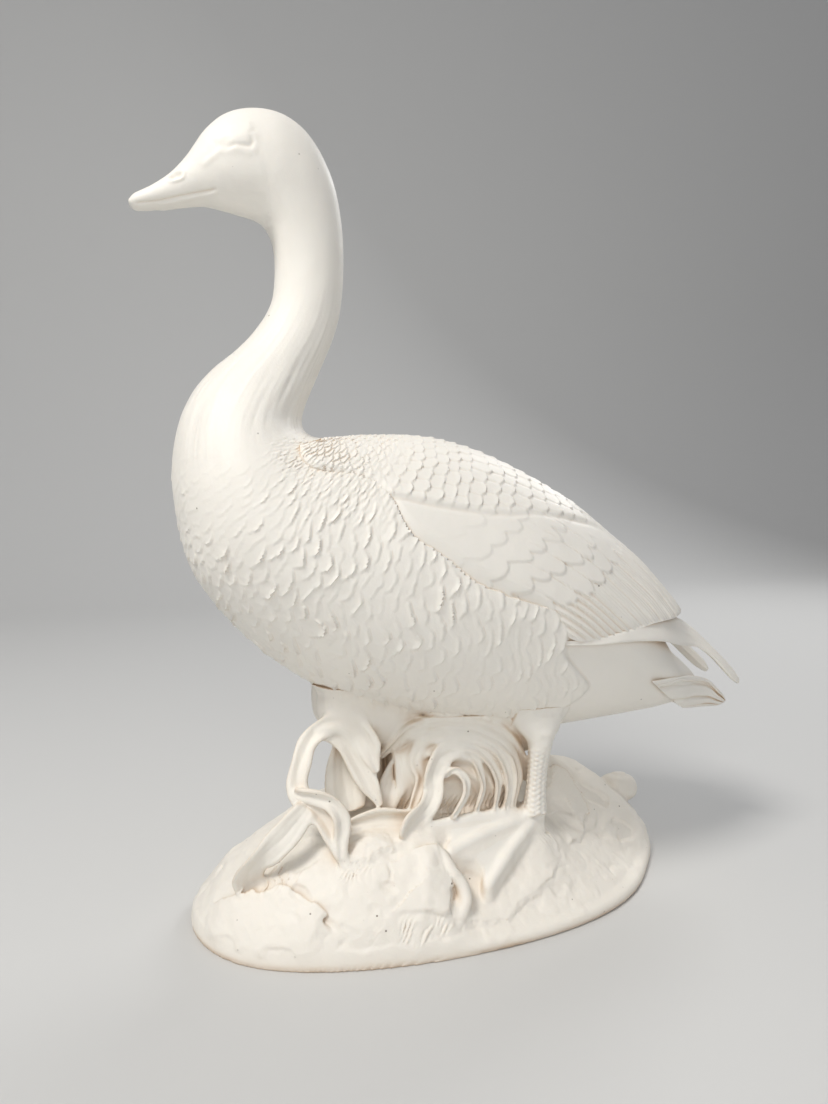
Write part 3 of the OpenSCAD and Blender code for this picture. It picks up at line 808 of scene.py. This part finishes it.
# ---------------- ribbons and bars
def fine_grid(name, columns, step, dome, end=(0, 0, 1)):
    """A capped CAD solid drawn again as a smooth fine grid, from the cap nearest to end, and
    closed with a dome at both ends."""
    coarse = cap_rings(name, end)
    around = np.arange(columns) / columns * coarse.shape[1]
    coarse = np.array([cubic(ring, around, loop=True) for ring in coarse])
    length = length_along(coarse)
    count = max(int(length[-1] / step), 8)
    grid = cubic(coarse, row_at(length, np.linspace(0, length[-1], count)))
    domes = []
    for row, before in ((grid[0], grid[1]), (grid[-1], grid[-2])):
        middle = row.mean(0)
        ahead = middle - before.mean(0)
        ahead /= norm(ahead)
        turns = np.radians([22, 45, 65, 82])
        domes.append([middle + (row - middle) * np.cos(a) + ahead * dome * np.sin(a) for a in turns])
    return np.concatenate([domes[0][::-1], grid, domes[1]])


def raised(grid, height):
    """A closed grid moved away from its middle line by a height at each point."""
    n = surface_normals(grid, True)
    return grid + height[..., None] * n * np.sign(np.sum(n * (grid - grid.mean(1, keepdims=True))))


def closed_faces(grid):
    """Vertices, quads and end fans of a closed grid, wound to face outwards."""
    rows, columns = grid.shape[:2]
    count = rows * columns
    ring = np.arange(columns)
    verts = np.concatenate([grid.reshape(-1, 3), grid[0].mean(0)[None], grid[-1].mean(0)[None]])
    quads = grid_faces(rows, columns, True)
    fans = np.concatenate([end_fan(ring, count), end_fan(ring + count - columns, count + 1)[:, ::-1]])
    if np.sum(surface_normals(grid, True) * (grid - grid.mean(1, keepdims=True))) < 0:
        return verts, quads[:, ::-1], fans[:, ::-1]
    return verts, quads, fans


def primaries_piece(name, salt):
    """Long outer feathers: a smooth blade with a shaft ridge and a second blade behind it."""
    grid = fine_grid(name, 96, 0.8, 0.8, (-1, 0, 0))
    middle = grid.mean(1, keepdims=True)
    wide = grid[:, :1] - grid[:, 48:49]
    wide = wide / norm(wide, axis=2, keepdims=True)
    place = np.sum((grid - middle) * wide, axis=2)
    place = place / (np.abs(place).max(1, keepdims=True) + 1e-6)
    along = np.linspace(0, 1, len(grid))[:, None]
    free = ease(along, 0.5, 0.2)
    ridge = 0.35 * bell(place, 0.14) + 0.25 * bell(np.abs(place) - 0.72, 0.1)
    height = free * ridge + 0.12 * noise_at(grid, 9, salt)
    verts, quads, fans = closed_faces(raised(grid, height))
    new_piece(name, verts, [quads, fans])


primaries_piece("left_primaries", 160)
primaries_piece("right_primaries", 161)


# Rows of the tail fan: x and z of its middle line, half width, half thickness, and how far
# its side edges rise and sweep forward
TAIL_ROWS = (
    (166, 102, 47, 1.8, 28, 49), (173, 101.5, 41, 2.6, 27.5, 38), (181, 101, 32, 3, 26, 28),
    (189, 100, 21, 3, 20.5, 14), (197, 99, 13, 2.6, 10, 5), (203.5, 98.5, 5, 1.4, 1.5, 0),
)


def tail_piece():
    """Tail fan that hugs the rump, with grooves between its feathers that run to the tip."""
    count = 320
    along = np.linspace(0, 1, 84)[:, None]
    rows = cubic(np.array(TAIL_ROWS, float), along[:, 0] * (len(TAIL_ROWS) - 1))
    x, z, wide, thick, rise, sweep = (rows[:, k, None] for k in range(6))
    turn = np.arange(count) * 2 * np.pi / count
    place, face = np.cos(turn), np.sin(turn)
    side = np.abs(place)
    blunt = np.sqrt(1 - (1 - np.clip(np.minimum(along / 0.05, (1 - along) / 0.04), 0.03, 1)) ** 2)
    z = z + rise * side**2.6 + thick * blunt * face
    grid = np.stack([x - sweep * side**2, wide * place, z], axis=-1)
    out = surface_normals(grid, True)
    out = out * -np.sign(out[40, 3 * count // 4, 2])
    bend = place + 0.02 * noise_at(grid, 12, 171)
    lanes = np.abs(((bend * 4.5 + 0.25) % 1) - 0.5) * 2
    depth = blunt * (1 - 0.5 * ease(along, 0.8, 0.2))
    height = depth * (0.5 - 1.5 * ease(lanes, 0.6, 0.4)) + 0.12 * depth * np.sin(bend * 75)
    grid = grid + height[..., None] * out
    j = np.arange(1, count // 2 - 1)
    last = (len(grid) - 1) * count
    strips = np.stack([j, j + 1, count - j - 1, count - j], axis=1)
    corners = np.array([(0, 1, count - 1), (count // 2 - 1, count // 2, count // 2 + 1)])
    quads = [grid_faces(len(grid), count, True), strips, strips[:, ::-1] + last]
    tris = [corners, corners[:, ::-1] + last]
    if np.sum(out[:-1] * np.cross(grid[1:] - grid[:-1], np.roll(grid, -1, axis=1)[:-1] - grid[:-1])) > 0:
        quads, tris = [q[:, ::-1] for q in quads], [t[:, ::-1] for t in tris]
    new_piece("tail_feathers", grid.reshape(-1, 3), quads + tris)


tail_piece()


# ---------------- lower works as one clay mass
# The rock, legs and leaves were luted and sponged together, so their surfaces run into each
# other. Each piece becomes a field of distances, the fields are blended, and each piece is
# then cut back out as its own closed solid.
VOXEL = 0.7
BAND = 6.0                  # distances are kept up to this far from a surface
CORNER = np.array((-234, -136, -6))     # lowest voxel of the whole block
BLOCK = (468, 272, 200)
FILLET = 3.4
works = {}


def field_of(verts, quads, tris, whole=False):
    """Corner voxel and array of signed distances of a closed mesh, in a box round it."""
    width = BAND / VOXEL
    grid = openvdb.FloatGrid.createLevelSetFromPolygons(
        np.ascontiguousarray(verts, np.float32),
        triangles=np.ascontiguousarray(tris, np.uint32),
        quads=np.ascontiguousarray(quads, np.uint32),
        transform=openvdb.createLinearTransform(VOXEL),
        exBandWidth=width,
        inBandWidth=width,
    )
    low, high = CORNER, CORNER + BLOCK
    if not whole:
        low = np.maximum(np.floor(verts.min(0) / VOXEL - width).astype(int), low)
        high = np.minimum(np.ceil(verts.max(0) / VOXEL + width).astype(int), high)
    field = np.empty(tuple(high - low), np.float32)
    grid.copyToArray(field, ijk=tuple(int(v) for v in low))
    return low, field


def box_of(low, field):
    return tuple(slice(a, a + n) for a, n in zip(low - CORNER, field.shape))


def box_blur(a, reach):
    """The field averaged twice over cubes of 2 * reach + 1 voxels."""
    width = 2 * reach + 1
    for axis in (0, 1, 2, 0, 1, 2):
        a = np.pad(np.moveaxis(a, axis, 0), ((reach + 1, reach), (0, 0), (0, 0)), mode="edge")
        total = np.cumsum(a, axis=0, dtype=np.float64)
        a = np.moveaxis(((total[width:] - total[:-width]) / width).astype(np.float32), 0, axis)
    return np.ascontiguousarray(a)


def raise_field(low, field, relief, reach=3.5):
    """Moves the surface of a field outwards by relief(points), within reach of the surface."""
    near = np.flatnonzero(np.abs(field) < reach)
    where = np.stack(np.unravel_index(near, field.shape), axis=1)
    flat = field.ravel()
    flat[near] -= relief((where + low) * VOXEL)
    return flat.reshape(field.shape)


def blended(a, b, reach):
    """Smooth union of two fields. Beyond the band distances aren't known, and it does nothing."""
    h = np.maximum(reach - np.abs(a - b), 0) / reach
    known = np.clip((BAND - np.maximum(a, b)) / 1.5, 0, 1)
    return np.minimum(a, b) - known * h * h * reach / 4


def leaf_grid(name, end, salt, channel):
    """A ribbon leaf with a sunk channel, rolled edges, an uneven outline and fine streaks."""
    grid = fine_grid(name, 72, 0.7, 1, end)
    middle = grid.mean(1, keepdims=True)
    wide = grid[:, :1] - grid[:, 36:37]
    half = norm(wide, axis=2, keepdims=True) / 2
    wide = wide / (2 * half + 1e-9)
    place = np.sum((grid - middle) * wide, axis=2) / (half[..., 0] + 1e-6)
    length = np.cumsum(norm(np.diff(middle[:, 0], axis=0, prepend=middle[:1, 0]), axis=1))
    rib = length[:, None]
    body_part = ease(half[..., 0] / 4)
    lift = 0.5 * between(np.abs(place), 0.62, 1.2, 0.25) - channel * bell(place, 0.42)
    crease = 0.3 * bell(place - 0.25 * noise(rib / 18, 0, 0, salt), 0.1)
    streaks = 0.16 * noise(place * 5, rib / 9, 0, salt + 1)
    height = (lift - crease) * body_part + streaks
    wobble = 0.75 * noise(rib / 11, np.sign(place) * 3.1, 0, salt + 2) * np.abs(place) ** 2
    return raised(grid, height) + (wobble * body_part * np.sign(place))[..., None] * wide


def work_grid(name, grid):
    verts, quads, fans = closed_faces(grid)
    works[name] = field_of(verts, quads, fans)


def leg_grid(name):
    """A leg with rows of small scutes down its front and rings of creases."""
    grid = fine_grid(name, 96, 0.6, 0.5)
    middle = grid.mean(1, keepdims=True)
    turn = np.arctan2(grid[..., 1] - middle[..., 1], grid[..., 0] - middle[..., 0])
    down_leg = grid[..., 2] / 3.1 + 0.25 * noise(turn * 1.5, grid[..., 2] / 7, 0, 201)
    lane = turn / 0.62
    brick = down_leg + 0.5 * (np.floor(lane) % 2)
    plate = np.abs(np.sin(np.pi * brick)) ** 0.6 * np.abs(np.sin(np.pi * lane)) ** 0.35
    bare = ease(grid[..., 2], 100, -12)
    sinew = 0.5 * np.cos(3 * turn + 0.6) * bare
    return raised(grid, bare * 1.15 * (plate - 0.5) + sinew + (1 - bare) * 0.5 * noise_at(grid, 4, 202))


# Leaves in the order of their random numbers, and the way to the end they are read from
# where that isn't their top
LEAVES = (
    "loop_leaf", "arch_leaf", "strap_leaf", "curled_leaf", "folded_leaf", "back_leaf", "hooked_leaf",
    "wavy_leaf", "stem_leaf", "flat_leaf", "cross_leaf", "fan_leaf_1", "fan_leaf_2", "fan_leaf_3",
    "fan_leaf_4", "fan_leaf_5", "far_arch_leaf", "far_broad_leaf", "far_wavy_leaf", "far_fan_leaf_1",
    "far_fan_leaf_2",
)
LEAF_ENDS = {
    "loop_leaf": (1, 0, 1), "hooked_leaf": (-1, 0, 0), "cross_leaf": (1, 0, 0),
    "arch_leaf": (-1, 0, 1), "curled_leaf": (-1, 0, 1), "fan_leaf": (-1, 0, 1),
}


def worked(points, path, reach, shape):
    """Heights from shape for the points in the box round a path grown by reach, else 0."""
    path = np.asarray(path, float)
    on = np.all((points > path.min(0) - reach) & (points < path.max(0) + reach), axis=1)
    height = np.zeros(len(points))
    height[on] = shape(*near_path(points[on], path))
    return height


def ledge(points, rise, reach, soft, path):
    """Ground raised on the left of a path, fading back to nothing over reach."""
    def shape(d, share, side):
        signed = side * d
        return rise * ease(signed / soft + 0.5) * bell(np.maximum(signed, 0), reach) * faded(share, 0.12)

    return worked(points, path, 2 * reach, shape)


def cleft(points, depth, width, path):
    def shape(d, share, _):
        return -depth * bell(d, width) * (0.25 + 0.75 * faded(share))

    return worked(points, path, 3 * width, shape)


def tufts(points, centre, size, lean, pitch, salt):
    """Short grass strokes scratched side by side into the clay, leaning along x with z."""
    height = np.zeros(len(points))
    q = (points - np.array(centre)) / np.array(size)
    patch = np.exp(-np.sum(q * q, axis=1) ** 1.5)
    on = patch > 0.02
    p = points[on]
    across = p[:, 0] - lean * p[:, 2] + 2.2 * noise_at(p, 7, salt)
    broken = ease(noise(across / pitch, p[:, 2] / 7, p[:, 1] / 7, salt + 1) * 1.4 + 0.5)
    height[on] = patch[on] * broken * np.sin(2 * np.pi * across / pitch)
    return height


# Ledges of the rock: rise, reach, softness of the edge, and a path with the high ground on
# its left
LEDGES = (
    (2.4, 16, 1.8, (
        (-84, -71, 22), (-92, -65, 26), (-98, -59, 31), (-105, -53, 34),
        (-114, -46, 34), (-125, -40, 29), (-133, -36, 25), (-144, -21, 20),
    )),
    (2.8, 22, 1.8, (
        (-23, -78, 21), (-22, -74, 25), (-19, -67, 31), (-20, -61, 38), (-23, -56, 46), (-39, -56, 50),
    )),
    (1.6, 14, 4, (
        (-18, -78, 16), (-2, -76, 12), (11, -75, 11), (22, -69, 15),
        (34, -64, 19), (46, -58, 23), (60, -50, 27),
    )),
    (4.6, 20, 2.2, ((86, -24, 28), (92, -15, 37), (89, -10, 48), (80, -6, 60), (69, -3, 68))),
    (1.6, 16, 2, ((68, -39, 30), (80, -30, 28), (92, -20, 26), (100, -14, 24))),
    (2, 9, 1.8, ((-78, -51, 47), (-70, -55, 46), (-61, -56, 46), (-54, -54, 50), (-46, -54, 50))),
)
# Clefts: depth, width and path
CLEFTS = (
    (2.2, 1.5, ((-98, -59, 31), (-92, -65, 26), (-85, -70, 22), (-80, -74, 17), (-81, -76, 11))),
    (1.2, 1.1, ((-81, -71, 23), (-77, -73, 20), (-73, -75, 18))),
    (2.6, 1.5, (
        (-23, -56, 46), (-20, -61, 38), (-19, -67, 31), (-22, -74, 25), (-23, -78, 21), (-17, -78, 15),
    )),
    (3, 4, ((71, 1, 69), (90, -2, 57), (104, -5, 44), (114, -7, 36))),
    (1, 1.1, ((-52, -58, 47), (-51, -62, 43), (-52, -66, 38))),
)
# Patches of scratched grass: depth, centre, size, lean, and pitch of the strokes
TUFTS = (
    (0.75, (-42, -80, 16), (22, 9, 6), 0.9, 3),
    (0.8, (-108, -44, 38), (15, 8, 9), 0.8, 2.4),
    (0.6, (52, -44, 44), (8, 7, 8), -0.6, 2.4),
    (0.5, (-70, -56, 42), (11, 6, 6), 0.7, 2.6),
    (0.6, (8, -35, 59), (32, 9, 7), 0.5, 3),
)


def rock_relief(points):
    """Worked surface of the base: soft dents, plates with broken edges, clefts and grass."""
    sway = [noise_at(points, 9, 295 + k) + 0.5 * noise_at(points, 4, 298 + k) for k in range(3)]
    points = points + 1.8 * np.stack(sway, axis=1)
    x, y, z = points.T
    height = 0.9 * noise_at(points, 24, 301) + 0.65 * noise_at(points, 10, 302)
    height += 0.24 * noise_at(points, 3.4, 303)
    height -= 0.9 * ease(noise(x / 15 + z / 22, y / 11, z / 9, 304), 0.25, 0.4)
    for numbers in LEDGES:
        height += ledge(points, *numbers)
    for numbers in CLEFTS:
        height += cleft(points, *numbers)
    for k, (depth, *numbers) in enumerate(TUFTS):
        height += depth * tufts(points, *numbers, 310 + 2 * k)
    lump = norm((points - (-61, -47, 53)) / (8, 6, 7), axis=1)
    pitted = norm((points - (-58, -48, 52)) / (13, 8, 9), axis=1)
    height += 3.6 * bell(lump, 1) + 0.8 * bell(pitted, 1) * noise_at(points, 1.9, 306)
    height = np.maximum(height, -4 * ease(z, 10, 9))
    return height * ease(z, 3, 7)


def add_loaf(low, field, centre, half, reach=5):
    """Blends a rounded block into a field, in the box round it."""
    centre, half = np.array(centre), np.array(half)
    first = np.maximum(np.floor((centre - half - BAND) / VOXEL).astype(int) - low, 0)
    last = np.minimum(np.ceil((centre + half + BAND) / VOXEL).astype(int) - low, field.shape)
    x, y, z = (
        np.abs(((np.arange(a, b) + start) * VOXEL - c) / h) ** 3
        for a, b, start, c, h in zip(first, last, low, centre, half)
    )
    block = ((x[:, None, None] + y[:, None] + z) ** (1 / 3) - 1) * min(half)
    box = tuple(slice(a, b) for a, b in zip(first, last))
    field[box] = blended(field[box], np.clip(block, -BAND, BAND).astype(np.float32), reach)


def clump_relief(points):
    """Curved blades modelled in low relief round the fan, with grass at its foot."""
    x, y, z = points.T
    near_side = ease((-y - 8) / 8) + ease(y, 8, 8)
    rho = np.hypot(x + 7, (z - 62) * 0.95)
    blades_round = np.sin(2 * np.pi * (rho + 1.4 * noise_at(points, 14, 321)) / 6.4)
    height = 0.8 * near_side * blades_round * ease(rho, 10, 6) * ease((x + 24) / 5)
    foot = ease(z, 70, -6)
    return height * (1 - foot) + foot * 0.6 * np.sin(2 * np.pi * (x - 0.5 * z + noise_at(points, 8, 322)) / 3)


def tube(points, path, radii):
    """Distance from a bar of changing radius through the points of a path."""
    d, share, _ = near_path(points, path)
    return d - np.interp(share, np.linspace(0, 1, len(radii)), radii)


# Each webbed foot: its ankle and the tips of its three toes
FEET = {
    "left_foot": ((47, -37, 48), ((2, -66, 24), (-17, -55, 43), (-27, -44, 55.5))),
    "right_foot": ((47, 37, 62), ((-24, 44, 60.5), (-14, 57, 52), (4, 66, 45))),
}


def add_toes(name):
    """Webbed foot with a ridge down each toe that ends in a blunt claw. The rock is raised to
    meet its underside."""
    verts, tris = cad_mesh(name)
    low, field = field_of(verts, np.empty((0, 4)), tris)
    field = box_blur(field, 1) + 0.9
    where = np.stack(np.meshgrid(*[np.arange(n) for n in field.shape], indexing="ij"), axis=-1)
    where = (where + low) * VOXEL
    ankle, tips = FEET[name]
    share = np.linspace(0, 0.95, 10)[:, None]
    for tip in tips:
        path = np.array(ankle) + share * (np.array(tip) - np.array(ankle))
        path[:, 2:] += 12 * share * (1 - share) + 3.4 - 1.6 * share
        knuckles = 0.25 * np.cos(share[:, 0] * 19)
        toe = tube(where, path, 2.6 - share[:, 0] + knuckles)
        field = blended(field, np.minimum(toe, BAND).astype(np.float32), 3)
    works[name] = (low, field)
    for drop in (3, 7, 11):
        box = box_of(low - (0, 0, drop), field)
        rock = works["base_shell"][1]
        rock[box] = blended(rock[box], field, 4)


def outer_only(points, low, top):
    """Relief of the rock, kept off the hollow underside."""
    cell = np.round(points[:, :2] / VOXEL).astype(int) - low[:2]
    under = top[cell[:, 0], cell[:, 1]] - points[:, 2]
    height = np.full(len(points), 2.0)
    on = under < 4.5
    height[on] = rock_relief(points[on]) * (1 - ease(under[on], 3, 1.5))
    return height


def build_works():
    verts, tris = cad_mesh("base_shell")
    low, field = field_of(verts, np.empty((0, 4)), tris, whole=True)
    field = box_blur(field, 2)
    add_loaf(low, field, (4, -30, 51.5), (35, 9, 8))
    heights = (np.arange(field.shape[2]) + low[2]) * VOXEL
    top = np.where(field < 0, heights, -99).max(2)
    works["base_shell"] = (low, raise_field(low, field, lambda points: outer_only(points, low, top)))
    rear = fine_grid("rear_stone", 64, 0.8, 1.2)
    work_grid("rear_stone", raised(rear, 0.5 * noise_at(rear, 7, 331)))
    support = fine_grid("front_support", 96, 0.8, 1)
    folds = 0.7 * np.sin(np.arctan2(support[..., 1], support[..., 0] + 52) * 9 + support[..., 2] / 9)
    work_grid("front_support", raised(support, folds + 0.5 * noise_at(support, 8, 332)))
    work_grid("leaf_clump", fine_grid("leaf_clump", 96, 0.9, 1))
    for side in (-1, 1):
        add_loaf(*works["front_support"], (-51, 14 * side, 122), (28, 12, 22))
        add_loaf(*works["leaf_clump"], (8, 21 * side, 88), (37, 14, 33))
        add_loaf(*works["leaf_clump"], (-31, 17 * side, 75), (15, 11, 19))
    works["leaf_clump"] = (works["leaf_clump"][0], raise_field(*works["leaf_clump"], clump_relief))
    for name, side in (("left_leg", -1), ("right_leg", 1)):
        work_grid(name, leg_grid(name))
        add_loaf(*works[name], (46, 33 * side, 114), (15, 11, 12), 6)
    for name in FEET:
        add_toes(name)
    for k, name in enumerate(LEAVES):
        channel = 0.3 if name == "strap_leaf" else 0.75
        end = LEAF_ENDS.get(name.rstrip("_12345"), (0, 0, 1))
        work_grid(name, leaf_grid(name, end, 340 + 5 * k, channel))
    root = fine_grid("front_root", 40, 0.6, 1.5)
    work_grid("front_root", raised(root, 0.35 * noise_at(root, 5, 333)))


def main_parts(verts, quads, tris):
    """The mesh without loose crumbs smaller than a fiftieth of its largest part."""
    label = np.arange(len(verts))
    edges = np.concatenate([quads[:, :2], quads[:, 1:3], quads[:, 2:], tris[:, :2], tris[:, 1:]])
    while True:
        least = np.minimum(label[edges[:, 0]], label[edges[:, 1]])
        fresh = label.copy()
        np.minimum.at(fresh, edges[:, 0], least)
        np.minimum.at(fresh, edges[:, 1], least)
        fresh = fresh[fresh]
        if np.array_equal(fresh, label):
            break
        label = fresh
    size = np.bincount(label, minlength=len(verts))
    keep = size[label] >= max(size.max() / 50, 30)
    index = np.cumsum(keep) - 1
    return verts[keep], index[quads[keep[quads[:, 0]]]], index[tris[keep[tris[:, 0]]]]


def cut_out_works():
    union = np.full(BLOCK, BAND, np.float32)
    nearest = union.copy()
    second = union.copy()
    owner = np.full(BLOCK, -1, np.int8)
    for k, (low, field) in enumerate(works.values()):
        box = box_of(low, field)
        union[box] = blended(union[box], field, FILLET)
        closer = field < nearest[box]
        second[box] = np.where(closer, nearest[box], np.minimum(second[box], field))
        nearest[box] = np.where(closer, field, nearest[box])
        owner[box] = np.where(closer, k, owner[box])
    _, bird = field_of(*closed_faces(carved[::2, ::4]), whole=True)
    mass = blended(union, bird, 6)
    for k, (name, (low, field)) in enumerate(works.items()):
        box = box_of(low, field)
        others = np.where(owner[box] == k, second[box], nearest[box])
        share = (field - others) / 2
        fringe = ease(union[box], 2.5, 3) * ease(bird[box], 3, -3)
        cut = np.maximum(mass[box] + 0.3 * ease(share) + 0.35 * fringe, share - 1)
        cut = np.maximum(cut, -(bird[box] + 1.2))
        cut = np.maximum(cut, union[box] - 5)
        if name == "base_shell":
            foot = (np.arange(field.shape[2]) + low[2]) * VOXEL
            cut = np.maximum(cut, -foot.astype(np.float32))
        grid = openvdb.FloatGrid(BAND)
        grid.transform = openvdb.createLinearTransform(VOXEL)
        grid.copyFromArray(cut.astype(np.float32), ijk=tuple(int(v) for v in low))
        points, triangles, quads = grid.convertToPolygons(isovalue=0.0, adaptivity=0.0)
        points, quads, triangles = main_parts(points.astype(float), quads.astype(int), triangles.astype(int))
        new_piece(name, points, [quads[:, ::-1], triangles[:, ::-1]], 60)


build_works()
cut_out_works()


# ---------------- stage
def add_stage():
    """A pale floor that sweeps up behind, soft light and a camera to the left of the goose."""
    half, far, bend, top = 8, 1.1, 0.8, 2.6
    sweep = [(far + bend * math.sin(a), bend * (1 - math.cos(a))) for a in np.radians(np.arange(0, 91, 5))]
    profile = [(-half, 0), *sweep, (far + bend, top)]
    corners = [(x, y, z) for y, z in profile for x in (-half, half)]
    strips = [(k, k + 1, k + 3, k + 2) for k in range(0, len(corners) - 2, 2)]
    floor_mesh = bpy.data.meshes.new("floor_mesh")
    floor_mesh.from_pydata(corners, [], strips)
    floor_mesh.shade_smooth()
    paint = bpy.data.materials.new("floor_paint")
    paint.use_nodes = True
    feed(paint.node_tree.nodes["Principled BSDF"], Base_Color=(0.62, 0.62, 0.61, 1), Roughness=0.8)
    floor_mesh.materials.append(paint)
    add_object("floor", floor_mesh)

    world = bpy.data.worlds.new("studio")
    bpy.context.scene.world = world
    world.use_nodes = True
    nodes = world.node_tree.nodes
    seen = nodes.new("ShaderNodeLightPath").outputs["Is Camera Ray"]
    amount = feed(nodes.new("ShaderNodeMapRange"), Value=seen, To_Min=0.34, To_Max=0.72)
    feed(nodes["Background"], Color=(0.95, 0.96, 1, 1), Strength=amount.outputs["Result"])

    target = (cad_box[0] + cad_box[1]) / 2
    lamps = (
        ("key", (-0.95, -0.55, 1.35), 0.45, 19.5, (1, 0.975, 0.94)),
        ("front", (-0.5, -1.5, 0.5), 0.9, 7, (1, 0.99, 0.97)),
        ("rim", (1.1, 0.9, 0.9), 0.6, 9, (1, 1, 1)),
    )
    for name, place, size, power, colour in lamps:
        lamp = bpy.data.lights.new(name, "AREA")
        lamp.size, lamp.energy, lamp.color = size, power, colour
        holder = add_object(name, lamp)
        holder.location = target + Vector(place)
        holder.rotation_euler = (-Vector(place)).to_track_quat("-Z", "Y").to_euler()

    camera = bpy.data.cameras.new("camera")
    camera.lens, camera.sensor_width = 27.4, 36
    eye = add_object("camera", camera)
    eye.location = (-0.1696, -0.4777, 0.259)
    eye.rotation_euler = (math.radians(90 - 5.78), 0, math.radians(-17.5))
    bpy.context.scene.camera = eye
    bpy.context.scene.view_settings.view_transform = "Standard"


add_stage()
